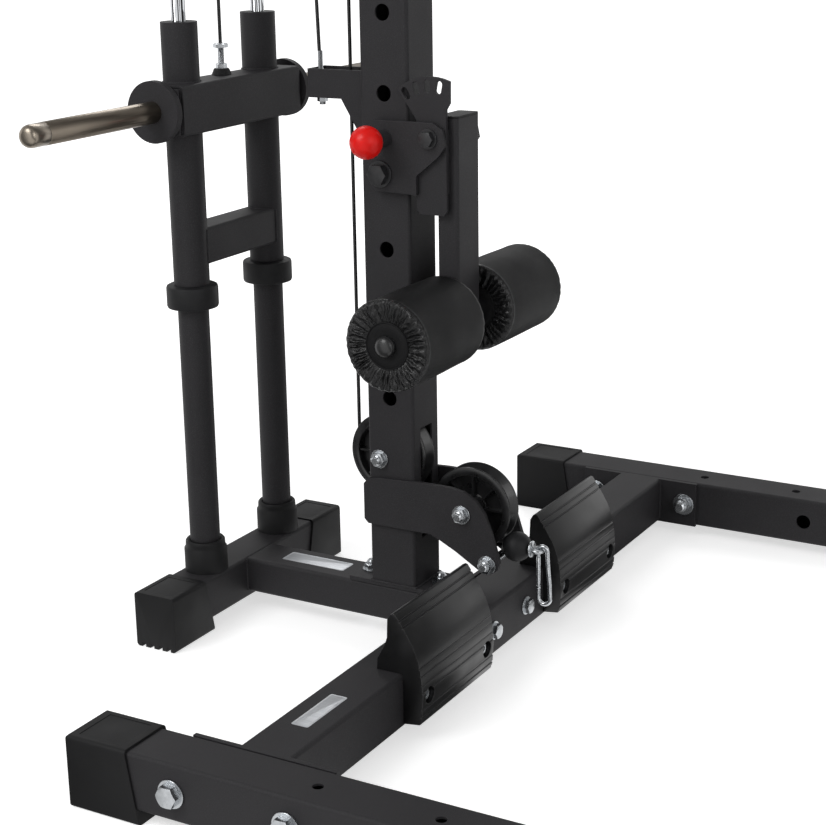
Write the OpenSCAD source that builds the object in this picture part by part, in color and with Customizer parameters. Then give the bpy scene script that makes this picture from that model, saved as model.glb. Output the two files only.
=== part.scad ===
// Half rack with a plate-loaded cable carriage, low pulley, footrests and leg holder.
// Millimetres. +Z up, -Y is the front of the rack, +X is its right side seen from behind.
// The pieces are laid out from the centre line of the rear post, then moved
// along Y so that the origin is the middle of the footprint, on the floor.

/* [Square tubes] */
// Side of the square tube of base, post and uprights
beam_w = 70; // [66:1:76]
// Wall of every square tube
beam_wall = 3; // [2:0.5:4]
// Outer corner radius of every square tube
corner_r = 5; // [4:0.5:8]
// Height of the base beams above the floor
foot_h = 17; // [15:1:24]

/* [Side beams] */
// Half distance between the centre lines of the two side beams
track_half = 570; // [540:5:620]
// Rear end of the side beam caps, from the post centre
side_rear_y = 94; // [80:1:120]
// Front end of the side beam caps, from the post centre
side_front_y = -1250; // [-1320:10:-1240]
// Diameter of the free holes on top of a side beam
top_hole_d = 13; // [9:0.5:16]
// Distance between the free holes on top of a side beam
top_hole_pitch = 149; // [120:1:160]
// First free hole on top of a side beam, from the post centre
top_hole_y = -219; // [-225:1:-205]
// Diameter of the hole in the inner wall of a side beam
side_hole_d = 22; // [16:1:26]

/* [Foot caps] */
// Wall of the caps outside the tubes
cap_wall = 3; // [2:0.5:4]
// Length of a side beam cap along its top edge
cap_top_len = 83; // [70:1:95]
// How much longer a cap is at the floor than on top
cap_slant = 15; // [8:1:20]
// Length of a rear beam cap along its top edge
rear_cap_len = 75; // [65:1:80]

/* [Cross beam] */
// Centre line of the cross beam, from the post centre
cross_y = -125; // [-135:1:-120]
// Length of the bolted flanges
flange_len = 190; // [180:1:200]
// Thickness of the bolted flanges
flange_t = 6; // [5:0.5:10]
// Distance between the two bolts of a flange
flange_pitch = 150; // [130:1:156]
// Bolt size of the main frame
frame_bolt_d = 16; // [12:1:16]
// Bolt size of the plates and axles
plate_bolt_d = 12; // [10:1:12]

/* [Rear base] */
// Half width of the rear foot over its caps
rear_half = 213; // [200:1:240]
// Side of the square tube of the rear foot
rear_w = 60; // [50:1:66]
// Height of the tube between cross beam and rear foot
spine_h = 50; // [40:1:56]
// Guide rod plane and rear foot centre line, from the post centre
rod_y = 273; // [270:1:290]

/* [Rear post] */
// Top of the post tube
post_top = 2112; // [2080:1:2150]
// Height of the lowest side hole
first_hole_z = 346.7; // [340:0.1:352]
// Distance between the holes of post and uprights
hole_pitch = 100; // [100:1:101]
// Number of side holes in the post
hole_n = 17; // [12:1:17]
// Diameter of the holes of post and uprights
hole_d = 21; // [20.5:0.5:22]
// Thickness of the post foot plate
foot_plate_t = 6; // [5:1:10]
// Half length of the post foot plate
foot_plate_half = 70; // [66:1:78]

/* [Guide rods and stops] */
// Half distance between the guide rods
rod_half = 90; // [85:1:95]
// Diameter of the guide rods
rod_d = 19; // [17:0.5:20]
// Diameter of the tubes that stop the carriage
stop_d = 42; // [38:1:45]
// Top of the stop tubes
stop_top = 455; // [430:1:457]
// Diameter of the rubber bumpers
bumper_d = 70; // [62:1:74]
// Diameter of the rubber cups
cup_d = 60; // [54:1:64]
// Height of the rubber cups
cup_h = 45; // [38:1:50]
// Height of the lip on a rubber cup
cup_lip = 11; // [8:1:14]

/* [Carriage] */
// Diameter of the carriage tubes
sleeve_d = 48.3; // [45:0.1:52]
// Bottom of the carriage tubes
sleeve_bottom = 486.5; // [484:0.5:496]
// Top of the carriage tubes
sleeve_top = 833; // [815:1:850]
// Height of the upper carriage box
box_h = 65; // [60:1:70]
// Depth of the upper carriage box
box_d = 54; // [50:1:56]
// How far the middle of the upper box lies in front of the guide rods
box_shift = 8; // [4:1:9]
// Height of the middle of the upper box
box_z = 723.5; // [715:0.5:730]
// Half length of the upper box
box_half = 135; // [132:1:138]
// Length of the necked end between the upper box and a plate disc
box_neck = 10; // [8:1:12]
// Height of the lower cross piece
low_bar_h = 50; // [44:1:56]
// Depth of the lower cross piece
low_bar_d = 46; // [38:1:47]
// Bottom of the lower cross piece
low_bar_z = 513; // [505:1:530]
// Diameter of the plate discs
disc_d = 80; // [74:1:90]
// Thickness of the plate discs
disc_t = 10; // [8:1:14]
// Diameter of the weight horns
horn_d = 28.5; // [25:0.5:30]
// Outer end of the weight horns from the middle
horn_end = 398; // [360:1:430]
// Length of the turned tip of a weight horn
horn_tip = 34; // [28:1:40]

/* [Pulleys and cables] */
// Cable diameter
cable_d = 4.8; // [4:0.1:5]
// Radius of the cable's middle on the large pulleys
reeve_r = 52.5; // [50:0.5:53]
// Radius of the cable's middle on the upper pulley of the floating block
block_up_r = 48; // [45:0.5:48]
// Radius of the cable's middle on the lower pulley of the floating block
block_low_r = 38; // [36:0.5:40]
// Width of a pulley
pulley_w = 28; // [26:0.5:28]
// Height of the post pulley's axle
post_pulley_z = 260.5; // [258:0.5:263]
// Low pulley axle, from the post centre
low_pulley_y = -109.5; // [-112:0.5:-109]
// Height of the low pulley's axle
low_pulley_z = 203.5; // [203:0.5:206]
// Height of the floating block's lower axle
block_z = 1700; // [1650:5:1750]
// Diameter of the ball stops
ball_d = 40; // [36:1:41]
// Front pulley of the top boom, from the post centre
lat_y = -430; // [-500:5:-380]

/* [Footrests] */
// Width of a footrest
rest_w = 186; // [170:1:196]
// Middle of a footrest from the middle of the rack
rest_x = 195; // [192:1:210]
// Half distance between the bolts of a footrest
rest_bolt_half = 75; // [60:1:80]

/* [Leg holder] */
// Pivot of the leg holder in front of the post centre
pivot_y = -70; // [-71:0.5:-69.5]
// Height of the leg holder's pivot
pivot_z = 695; // [694:0.5:696]
// Radius from the pivot to the lock holes
lock_r = 64; // [62:0.5:65]
// Outer radius of the lock plate
lock_plate_r = 76; // [74:0.5:76]
// Angle of the pull pin behind the front horizontal
pin_angle = 182.3; // [180:0.1:184]
// Height of the roller axle
roller_z = 463.5; // [450:0.5:475]
// Diameter of the padded rollers
roller_d = 118; // [100:1:122]
// Outer end of the padded rollers from the middle
roller_end = 190; // [170:1:210]
// Diameter of the roller axle
roller_axle_d = 25; // [22:1:28]
// Diameter of the pull pin's ball knob
knob_d = 42; // [38:1:46]

/* [Uprights and top] */
// Upright centre line in front of the post centre
upright_y = -820; // [-840:5:-815]
// Top of the uprights
upright_top = 2200; // [2190:1:2230]
// Height of the boom rails
rail_h = 80; // [76:1:90]
// Width of a boom rail
rail_w = 30; // [24:1:34]
// Gap between the boom rails
rail_gap = 40; // [38:1:44]
// Diameter of the pull-up bar
grip_d = 32; // [28:1:36]

/* [Hidden] */

$fn = 48;
gap = 0.1;
soft_gap = 0.3;
steel = "#3a3b3d";
plastic = "#232323";
zinc = "#b9bcc0";

// Levels and lines of the base
beam_mid_z = foot_h + beam_w / 2;
beam_top_z = foot_h + beam_w;
cap_top_z = beam_top_z + cap_wall;
cap_h = cap_top_z;
half = beam_w / 2;
cross_front_y = cross_y - half;
cross_rear_y = cross_y + half;
flange_x = track_half - half;
rear_cap_y = rod_y + rear_w / 2 + cap_wall;
shift_y = -(side_front_y + rear_cap_y) / 2;
rear_beam_z = foot_h + rear_w / 2;
spine_top_z = foot_h + rear_w;
spine_z = spine_top_z - spine_h / 2;
post_z = spine_top_z + foot_plate_t;
neck_bolt_x = 48;
foot_bolt_y = 55;

// Top frame
top_plate_t = 8;
rail_z = post_top + top_plate_t;
rail_top_z = rail_z + rail_h;
boom_axle_z = rail_top_z - 18;
boom_out = rail_gap / 2 + rail_w;
boom_front_y = upright_y + half;
boom_rear_y = rear_cap_y - flange_t;
lug_x = boom_out + 14;
lug_y = 45;
lug_end = lug_x + 14;
head_plate_half = lug_y + 15;
rod_head_h = 60;
rod_head_z = rail_z - rod_head_h;
top_beam_z = upright_top - half;
brace_inset = 18;
brace_pitch = 80;
brace_low_z = upright_top - flange_len + brace_inset;
brace_z = [brace_low_z, brace_low_z + brace_pitch];

// Cable lines
cable_r = cable_d / 2;
rear_top_y = rod_y - reeve_r;
rear_drop_y = rear_top_y - reeve_r;
post_pulley_y = 17;
low_line_y = post_pulley_y + reeve_r;
block_low_y = low_line_y + block_low_r;
block_up_y = rear_drop_y - block_up_r;
block_up_z = block_z + block_low_r + block_up_r + 20;
front_rise_y = block_up_y - block_up_r;
mid_top_y = front_rise_y - reeve_r;
rim_r = reeve_r + 4.5;
axle_r = plate_bolt_d / 2;
axle_hole_r = axle_r + 0.5;
axle_fit_r = axle_r + 0.25;
frame_hole_r = frame_bolt_d / 2 + 0.5;
anchor_y = 115;
anchor_top_z = 772;
ferrule_z = 793;

// Low pulley bracket and ball stop
bracket_t = 6;
stop_bolt = [low_pulley_y - 37.5, low_pulley_z - 64];
ball_angle = 218;
ball_reach = rim_r + ball_d / 2 + 0.4;
ball_y = low_pulley_y + ball_reach * cos(ball_angle);
ball_z = low_pulley_z + ball_reach * sin(ball_angle);
leave_angle = ball_angle + acos(reeve_r / ball_reach);
leave_y = low_pulley_y + reeve_r * cos(leave_angle);
leave_z = low_pulley_z + reeve_r * sin(leave_angle);
pull_tilt = atan2(ball_z - leave_z, leave_y - ball_y);
run_angle = atan2(post_pulley_z - low_pulley_z, post_pulley_y - low_pulley_y) - 90;

// Eye and carabiner below the ball stop
eye_r = 8;
eye_wire = 2.6;
eye_y = ball_y - ball_d / 2 - 10;
hook_y = eye_y - eye_r;
hook_wire = 2.8;
hook_r = 6.4;
hook_z = ball_z;
hook_low_r = 8.6;
hook_low_z = hook_z - 66;
hook_low_y = hook_y + hook_r - hook_low_r;
gate_low = 12;
gate_top = 6;

// Leg holder
lock_in = 35.6;
lock_t = 5;
holder_in = 42;
holder_t = 5;
holder_out = holder_in + holder_t;
arm_w = 60;
arm_d = 30;
arm_rear_y = pivot_y - 2;
arm_mid_y = arm_rear_y - arm_d / 2;
arm_top_z = pivot_z + 24;
arm_low_z = roller_z - 14;
lock_angles = [79, 93.5, 108, 122.5];
lock_front = 69;
lock_arc = 59;
pin_y = pivot_y - lock_r * cos(pin_angle);
pin_z = pivot_z + lock_r * sin(pin_angle);
pin_r = 4;
slot_fit = 0.25;
slot_len = 8;
barrel_r = 11;
barrel_end = holder_out + 25;
knob_x = barrel_end + 18;
holder_hole_z = first_hole_z + 3 * hole_pitch;

// Carriage
bush_bore = rod_d / 2 + 0.06;
bush_len = 30;
sleeve_wall = 3.2;
sleeve_bore = sleeve_d / 2 - sleeve_wall;
box_top_z = box_z + box_h / 2;
box_y = rod_y - box_shift;
disc_x = box_half + box_neck;
end_plate_t = 3;
neck_r = 22;

// Helpers: axes, tubes and outlines
module along_x() { rotate([0, 90, 0]) children(); }
module along_y() { rotate([-90, 0, 0]) children(); }
module both_sides() { children(); mirror([1, 0, 0]) children(); }

// Outline in Y and Z, pushed out along X from x0 to x1
module side_plate(x0, x1) {
    translate([x0, 0, 0]) rotate([90, 0, 90]) linear_extrude(x1 - x0) children();
}

module round_rect(w, h, r) {
    square([w - 2 * r, h], center = true);
    square([w, h - 2 * r], center = true);
    for (sx = [-1, 1], sy = [-1, 1]) translate([sx * (w / 2 - r), sy * (h / 2 - r)]) circle(r);
}

module tube_z(w, d, len) {
    inner_r = max(corner_r - beam_wall, 1);
    linear_extrude(len) difference() {
        round_rect(w, d, corner_r);
        round_rect(w - 2 * beam_wall, d - 2 * beam_wall, inner_r);
    }
}

module tube_y(w, h, y0, y1) { translate([0, y0, 0]) along_y() tube_z(w, h, y1 - y0); }
module tube_x(h, d, x0, x1) { translate([x0, 0, 0]) along_x() tube_z(h, d, x1 - x0); }
module plate(x0, x1, y0, y1, z0, z1) { translate([x0, y0, z0]) cube([x1 - x0, y1 - y0, z1 - z0]); }
module rod_x(r, x0, x1, y, z) { translate([x0, y, z]) along_x() cylinder(r = r, h = x1 - x0); }
module rod_y_dir(r, x, y0, y1, z) { translate([x, y0, z]) along_y() cylinder(r = r, h = y1 - y0); }
module rod_z(r, x, y, z0, z1) { translate([x, y, z0]) cylinder(r = r, h = z1 - z0); }
module ring(r_out, r_in, h) {
    difference() {
        cylinder(r = r_out, h = h);
        translate([0, 0, -1]) cylinder(r = r_in, h = h + 2);
    }
}

// Hexagon bolt with washers and nut along +Z; the clamped parts lie between 0 and grip
module hex_bolt(d, grip) {
    washer_r = 1.07 * d;
    washer_t = 0.17 * d;
    head_h = 0.62 * d;
    nut_h = 0.8 * d;
    hex_r = 0.87 * d;
    tail = 0.25 * d;
    translate([0, 0, -washer_t]) cylinder(r = washer_r, h = washer_t);
    translate([0, 0, -washer_t - head_h]) cylinder(r = hex_r, h = head_h, $fn = 6);
    shank = head_h / 2 + washer_t + grip + washer_t + nut_h + tail;
    translate([0, 0, -washer_t - head_h / 2]) cylinder(r = d / 2, h = shank);
    translate([0, 0, grip]) cylinder(r = washer_r, h = washer_t);
    translate([0, 0, grip + washer_t]) cylinder(r = hex_r, h = nut_h, $fn = 6);
}

// Points of an arc about (cy, cz) in the middle plane, angles from +Y towards +Z
function arc(cy, cz, r, a0, a1, n) =
    [for (i = [0:n]) let(a = a0 + (a1 - a0) * i / n) [0, cy + r * cos(a), cz + r * sin(a)]];

// Direction of a route at point i
function heading(p, i) =
    let(a = p[max(i - 1, 0)], b = p[min(i + 1, len(p) - 1)], v = b - a) v / norm(v);

// One closed tube swept along points that lie in the middle plane
module sweep(p, r, n) {
    rings = [for (i = [0:len(p) - 1], k = [0:n - 1])
        let(t = heading(p, i), side = [0, -t.z, t.y], a = 360 * k / n)
        p[i] + r * (cos(a) * [1, 0, 0] + sin(a) * side)];
    last = (len(p) - 1) * n;
    walls = [for (i = [0:len(p) - 2], k = [0:n - 1])
        let(a = i * n + k, b = i * n + (k + 1) % n) each [[a, b + n, a + n], [a, b, b + n]]];
    start = [for (k = [1:n - 2]) [0, k + 1, k]];
    end = [for (k = [1:n - 2]) [last, last + k, last + k + 1]];
    polyhedron(rings, concat(walls, start, end), convexity = 6);
}

module cable(p, r) { color(plastic) sweep(p, r, 8); }

// Spoked pulley about X, centred on (y, z); r is the radius of the cable's middle
module pulley(r, y, z) {
    w = pulley_w / 2;
    root = r - cable_r - 0.6;
    outer = r + 4.5;
    inner = root - 4;
    hub = 15;
    profile = [[inner, -w], [outer - 1, -w], [outer, -w + 1.5], [outer, -w + 3], [root, -cable_r],
        [root, cable_r], [outer, w - 3], [outer, w - 1.5], [outer - 1, w], [inner, w]];
    color(plastic) translate([0, y, z]) along_x() {
        rotate_extrude($fn = 96) polygon(profile);
        translate([0, 0, -w]) ring(hub, axle_r + 0.06, pulley_w);
        translate([0, 0, -2]) ring(inner + 0.5, hub - 0.5, 4);
        for (k = [0:5]) rotate(60 * k + 30)
            translate([hub - 0.6, -1.5, -w + 3]) cube([inner - hub + 1.2, 3, pulley_w - 6]);
    }
}

// Hexagon bolt across the middle plane, with its nut on the left side
module cross_bolt(d, half_grip, y, z) {
    translate([half_grip, y, z]) rotate([0, -90, 0]) hex_bolt(d, 2 * half_grip);
}

// Axle bolt with two spacer sleeves that hold a pulley in the middle
module axle(half_grip, y, z, sleeve_end) {
    cross_bolt(plate_bolt_d, half_grip, y, z);
    both_sides() rod_x(axle_r + 3, pulley_w / 2 + 0.2, sleeve_end, y, z);
}

// Base frame
module side_beam(sx) {
    color(steel) translate([sx * track_half, 0, beam_mid_z]) difference() {
        tube_y(beam_w, beam_w, side_front_y + cap_wall + gap, side_rear_y - cap_wall - gap);
        for (s = [-1, 1]) {
            rod_x(frame_hole_r, -beam_w, beam_w, cross_y + s * flange_pitch / 2, 0);
            rod_z(frame_hole_r, 0, upright_y + s * flange_pitch / 2, -beam_w, beam_w);
        }
        for (k = [0:2]) rod_z(top_hole_d / 2, 0, top_hole_y - k * top_hole_pitch, 0, beam_w);
        rod_x(side_hole_d / 2, sx > 0 ? -beam_w : 0, sx > 0 ? 0 : beam_w, top_hole_y - 173, 0);
    }
}

// Cap of a side beam end; dir is 1 at the rear and -1 at the front
module beam_cap(sx, y_end, dir) {
    w = beam_w + 2 * cap_wall;
    y_cut = cap_wall + gap;
    outline = [[0, 2], [-2, 0], [-cap_top_len - cap_slant, 0], [-cap_top_len, cap_h],
        [-2, cap_h], [0, cap_h - 2]];
    translate([sx * track_half, y_end, 0]) scale([1, dir, 1]) difference() {
        intersection() {
            side_plate(-w / 2, w / 2) polygon(outline);
            translate([0, -150, cap_h / 2]) along_y() linear_extrude(150) round_rect(w, cap_h, 5);
        }
        translate([0, -200, beam_mid_z]) along_y() linear_extrude(200 - y_cut)
            round_rect(beam_w + 2 * gap, beam_w + 2 * gap, corner_r);
        plate(-w / 2 + 10, w / 2 - 10, -cap_top_len + 12, -12, cap_h - 0.8, cap_h + 1);
    }
}

module foot_caps() {
    color(plastic) for (sx = [-1, 1]) {
        beam_cap(sx, side_rear_y, 1);
        beam_cap(sx, side_front_y, -1);
    }
    rear_beam_caps();
}

module cross_beam() {
    color(steel) difference() {
        union() {
            translate([0, cross_y, beam_mid_z])
                tube_x(beam_w, beam_w, -flange_x + flange_t, flange_x - flange_t);
            both_sides() plate(flange_x - flange_t, flange_x, cross_y - flange_len / 2,
                cross_y + flange_len / 2, foot_h, beam_top_z);
        }
        both_sides() for (s = [-1, 1])
            rod_x(frame_hole_r, flange_x - 20, flange_x + 1, cross_y + s * flange_pitch / 2, beam_mid_z);
        both_sides() rod_y_dir(axle_hole_r, neck_bolt_x, cross_front_y - 1, cross_rear_y + 1, beam_mid_z);
        both_sides() for (s = [-1, 1])
            rod_y_dir(5.5, rest_x + s * rest_bolt_half, cross_front_y - 1, cross_rear_y + 1, rest_bolt_z);
    }
}

// Uprights, top frame and their bolts
module uprights() {
    color(steel) both_sides() translate([track_half, upright_y, 0]) difference() {
        translate([0, 0, beam_top_z + top_plate_t])
            tube_z(beam_w, beam_w, upright_top - beam_top_z - top_plate_t);
        for (k = [0:hole_n]) rod_y_dir(hole_d / 2, 0, -beam_w, beam_w, first_hole_z + k * hole_pitch);
        for (z = brace_z) rod_x(frame_hole_r, -beam_w, beam_w, 0, z);
    }
}

module top_cross_beam() {
    color(steel) difference() {
        union() {
            translate([0, upright_y, top_beam_z])
                tube_x(beam_w, beam_w, -flange_x + flange_t, flange_x - flange_t);
            both_sides() plate(flange_x - flange_t, flange_x, upright_y - half, upright_y + half,
                upright_top - flange_len, upright_top);
        }
        both_sides() for (z = brace_z) rod_x(frame_hole_r, flange_x - 20, flange_x + 1, upright_y, z);
        both_sides() rod_y_dir(axle_hole_r, boom_bolt_x, upright_y - beam_w, upright_y + beam_w, top_beam_z);
    }
}

boom_bolt_x = boom_out + 22;

module top_boom() {
    color(steel) difference() {
        union() {
            both_sides() translate([rail_gap / 2 + rail_w / 2, 0, rail_z + rail_h / 2])
                tube_y(rail_w, rail_h, boom_front_y + flange_t, boom_rear_y);
            plate(-boom_bolt_x - 16, boom_bolt_x + 16, boom_front_y, boom_front_y + flange_t,
                rail_z, min(rail_top_z, upright_top));
            plate(-boom_out, boom_out, boom_rear_y, boom_rear_y + flange_t, rail_z, rail_top_z);
            both_sides() plate(boom_out, lug_end, -head_plate_half, head_plate_half,
                rail_z, rail_z + top_plate_t);
        }
        for (y = [rear_top_y, mid_top_y, lat_y])
            rod_x(axle_fit_r, -boom_out - 1, boom_out + 1, y, boom_axle_z);
        both_sides() {
            rod_y_dir(axle_hole_r, boom_bolt_x, boom_front_y - 1, boom_front_y + 20, top_beam_z);
            for (s = [-1, 1]) rod_z(axle_hole_r, lug_x, s * lug_y, rail_z - 1, rail_z + 20);
            rod_z(5.5, rail_gap / 2 + rail_w / 2, rod_y, rail_z - 1, rail_top_z + 1);
        }
    }
}

// Pull-up bar on two arms in front of the uprights
bar_y = upright_y - half - 108;
bar_plate_z = first_hole_z + 16 * hole_pitch;
bar_z = bar_plate_z + hole_pitch + 45;
module pull_up_bar() {
    front = upright_y - half;
    arm = [[front - 8, bar_plate_z + 40], [front - 8, bar_plate_z + hole_pitch + 20], [bar_y + 6, bar_z + 20],
        [bar_y - 14, bar_z + 12], [bar_y - 16, bar_z - 14]];
    color(steel) both_sides() {
        difference() {
            union() {
                plate(track_half - half, track_half + half, front - 8, front,
                    bar_plate_z - 30, bar_plate_z + hole_pitch + 30);
                side_plate(track_half - 5, track_half + 5) polygon(arm);
            }
            for (k = [0, 1])
                rod_y_dir(frame_hole_r, track_half, front - 20, front + 1, bar_plate_z + k * hole_pitch);
            rod_y_dir(frame_bolt_d * 1.2, track_half, front - 60, front - 8, bar_plate_z + hole_pitch);
        }
    }
    color(steel) rod_x(grip_d / 2, -track_half + 5, track_half - 5, bar_y, bar_z);
}

module frame_bolts() {
    d = frame_bolt_d;
    outer = track_half + half;
    color(zinc) both_sides() {
        for (s = [-1, 1]) {
            translate([outer, cross_y + s * flange_pitch / 2, beam_mid_z])
                rotate([0, -90, 0]) hex_bolt(d, beam_w + flange_t);
            translate([track_half, upright_y + s * flange_pitch / 2, foot_h])
                hex_bolt(d, beam_w + top_plate_t);
        }
        for (z = brace_z) translate([outer, upright_y, z]) rotate([0, -90, 0]) hex_bolt(d, beam_w + flange_t);
        for (k = [0, 1]) translate([track_half, upright_y - half - 8, bar_plate_z + k * hole_pitch])
            along_y() hex_bolt(d, beam_w + 8);
    }
}

// Rear base
module rear_base() {
    color(steel) difference() {
        union() {
            translate([0, 0, spine_z]) tube_y(beam_w, spine_h, cross_rear_y + flange_t, rod_y - rear_w / 2);
            plate(-neck_bolt_x - 22, neck_bolt_x + 22, cross_rear_y, cross_rear_y + flange_t,
                foot_h, beam_top_z);
            translate([0, rod_y, rear_beam_z])
                tube_x(rear_w, rear_w, -rear_half + cap_wall + gap, rear_half - cap_wall - gap);
        }
        both_sides() rod_y_dir(axle_hole_r, neck_bolt_x, cross_rear_y - 1, cross_rear_y + 20, beam_mid_z);
        for (s = [-1, 1]) rod_z(axle_hole_r, 0, s * foot_bolt_y, foot_h, spine_top_z + 1);
    }
}

module rear_beam_caps() {
    w = rear_w + 2 * cap_wall;
    top = spine_top_z + 2;
    outline = [[0, 0], [0, top], [-rear_cap_len, top], [-rear_cap_len - 17, 0]];
    color(plastic) both_sides() translate([rear_half, rod_y, 0]) difference() {
        intersection() {
            translate([0, w / 2, 0]) rotate([90, 0, 0]) linear_extrude(w) polygon(outline);
            translate([-150, 0, top / 2]) along_x() linear_extrude(150) round_rect(top, w, 5);
        }
        translate([-200, 0, rear_beam_z]) along_x() linear_extrude(200 - cap_wall - gap)
            round_rect(rear_w + 2 * gap, rear_w + 2 * gap, corner_r);
        plate(-rear_cap_len + 10, -10, -w / 2 + 10, w / 2 - 10, top - 0.8, top + 1);
        for (k = [-1.5:1:1.5]) translate([-12, k * 14 - 3, -1]) cube([20, 6, 7]);
    }
}

module plate_bolts() {
    d = plate_bolt_d;
    color(zinc) {
        both_sides() {
            translate([neck_bolt_x, cross_front_y, beam_mid_z]) along_y() hex_bolt(d, beam_w + flange_t);
            translate([boom_bolt_x, upright_y - half, top_beam_z]) along_y() hex_bolt(d, beam_w + flange_t);
            for (s = [-1, 1]) translate([lug_x, s * lug_y, post_top]) hex_bolt(d, 2 * top_plate_t);
            translate([rail_gap / 2 + rail_w / 2, rod_y, rod_head_z]) hex_bolt(10, rod_head_h + rail_h);
        }
        for (s = [-1, 1]) translate([0, s * foot_bolt_y, spine_top_z - spine_h])
            hex_bolt(d, spine_h + foot_plate_t);
    }
}

// Rear post with its side holes and cable slots
module slot_y(y0, y1, w, z0, z1) {
    plate(-w, w, y0, y1, z0 + w, z1 - w);
    for (z = [z0 + w, z1 - w]) rod_y_dir(w, 0, y0, y1, z);
}

module centre_post() {
    slot_half = pulley_w / 2 + 1.5;
    color(steel) difference() {
        translate([0, 0, post_z]) tube_z(beam_w, beam_w, post_top - post_z);
        for (k = [0:hole_n - 1]) rod_x(hole_d / 2, -beam_w, beam_w, 0, first_hole_z + k * hole_pitch);
        plate(-slot_half, slot_half, -half - 1, -half / 2, 150, post_pulley_z + 44);
        slot_y(half / 2, half + 1, slot_half, 190, post_pulley_z + 68);
        rod_x(axle_fit_r, -beam_w, beam_w, post_pulley_y, post_pulley_z);
    }
}

// Plates welded to the feet of the uprights and to both ends of the post
module end_plates() {
    color(steel) difference() {
        union() {
            both_sides() plate(track_half - half, track_half + half, upright_y - flange_len / 2,
                upright_y + flange_len / 2, beam_top_z, beam_top_z + top_plate_t);
            plate(-half, half, -foot_plate_half, foot_plate_half, spine_top_z, post_z);
            plate(-lug_end, lug_end, -head_plate_half, head_plate_half, post_top, rail_z);
        }
        both_sides() for (s = [-1, 1]) {
            rod_z(frame_hole_r, track_half, upright_y + s * flange_pitch / 2, beam_top_z - 1, beam_top_z + 20);
            rod_z(axle_hole_r, lug_x, s * lug_y, post_top - 1, rail_z + 1);
        }
        for (s = [-1, 1]) rod_z(axle_hole_r, 0, s * foot_bolt_y, spine_top_z - 1, post_z + 1);
    }
}

// Guide rods, their cups, stop tubes, bumpers and head
module rod_cups() {
    r = cup_d / 2;
    color(plastic) both_sides() translate([rod_half, rod_y, spine_top_z]) difference() {
        rotate_extrude() polygon([[0, 0], [r, 0], [r, cup_h - cup_lip - 2], [r - 2, cup_h - cup_lip],
            [r - 2.5, cup_h - 2], [r - 4, cup_h], [0, cup_h]]);
        translate([0, 0, 3]) cylinder(d = stop_d + 2 * gap, h = cup_h);
        translate([0, 0, -1]) cylinder(d = rod_d + 2 * gap, h = 10);
    }
}

module stop_tubes() {
    color(steel) both_sides() translate([rod_half, rod_y, spine_top_z + 3 + gap])
        ring(stop_d / 2, stop_d / 2 - 3.5, stop_top - spine_top_z - 3 - gap);
}

module bumper_collars() {
    h = sleeve_bottom - soft_gap - stop_top;
    r = bumper_d / 2;
    bore = rod_d / 2 + soft_gap;
    color(plastic) both_sides() translate([rod_half, rod_y, stop_top]) rotate_extrude()
        polygon([[bore, 0], [r - 4, 0], [r, 3], [r, h - 3], [r - 3, h], [bore, h]]);
}

module guide_rods() {
    color("#d9dce0") both_sides()
        rod_z(rod_d / 2, rod_half, rod_y, spine_top_z + gap, rail_z - beam_wall - gap);
}

module rod_head() {
    half_len = rod_half + 40;
    color(steel) difference() {
        translate([0, rod_y, rod_head_z + rod_head_h / 2]) tube_x(rod_head_h, 40, -half_len, half_len);
        both_sides() rod_z(rod_d / 2 + gap, rod_half, rod_y, rod_head_z - 1, rail_z - beam_wall);
        both_sides() rod_z(5.5, rail_gap / 2 + rail_w / 2, rod_y, rod_head_z - 1, rail_z + 1);
        rod_z(11, 0, rod_y, rod_head_z - 1, rail_z + 1);
    }
}

// Footrests that wrap over the cross beam
rest_top_z = beam_top_z + 77;
rest_bolt_z = foot_h + 42;
module footrests() {
    f = cross_front_y;
    t = beam_top_z;
    outline = [[f - 0.2, foot_h + 5], [f - 23, foot_h + 8], [f - 26, foot_h + 16], [f - 28, foot_h + 46],
        [f - 25.5, t + 2], [f - 22, t + 20], [f - 15, t + 38.5], [f - 2, t + 60], [f + 9, t + 76],
        [f + 12, rest_top_z], [f + 16, t + 75], [f + 20, t + 68], [f + 21, t + 44], [f + 25, t + 33],
        [f + 35, t + 15], [f + 36, t + 0.2], [f - 0.2, t + 0.2]];
    grooves = [[f + 3.5, t + 68], [f - 1.5, t + 60.5], [f - 24, t + 12], [f - 26, t + 2],
        [f - 27.5, t - 10], [f - 28, t - 20], [f - 27, t - 42], [f - 26, t - 52]];
    color(plastic) both_sides() difference() {
        side_plate(rest_x - rest_w / 2, rest_x + rest_w / 2) difference() {
            polygon(outline);
            for (g = grooves) translate(g) circle(r = 1.3, $fn = 12);
        }
        for (s = [-1, 1]) {
            rod_y_dir(5.5, rest_x + s * rest_bolt_half, f - 40, f + 1, rest_bolt_z);
            rod_y_dir(11, rest_x + s * rest_bolt_half, f - 40, f - 16, rest_bolt_z);
        }
    }
}

module footrest_bolts() {
    len = beam_w + 16;
    color(zinc) both_sides() for (s = [-1, 1])
        translate([rest_x + s * rest_bolt_half, cross_front_y - 16, rest_bolt_z]) along_y() {
            translate([0, 0, -2]) cylinder(r = 10.5, h = 2);
            difference() {
                translate([0, 0, -7]) cylinder(r1 = 7, r2 = 8.5, h = 5);
                translate([0, 0, -8]) cylinder(r = 3.5, h = 4, $fn = 6);
            }
            translate([0, 0, -2]) cylinder(r = 5, h = len + 12);
            translate([0, 0, len]) cylinder(r = 8.7, h = 8, $fn = 6);
        }
}

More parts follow.
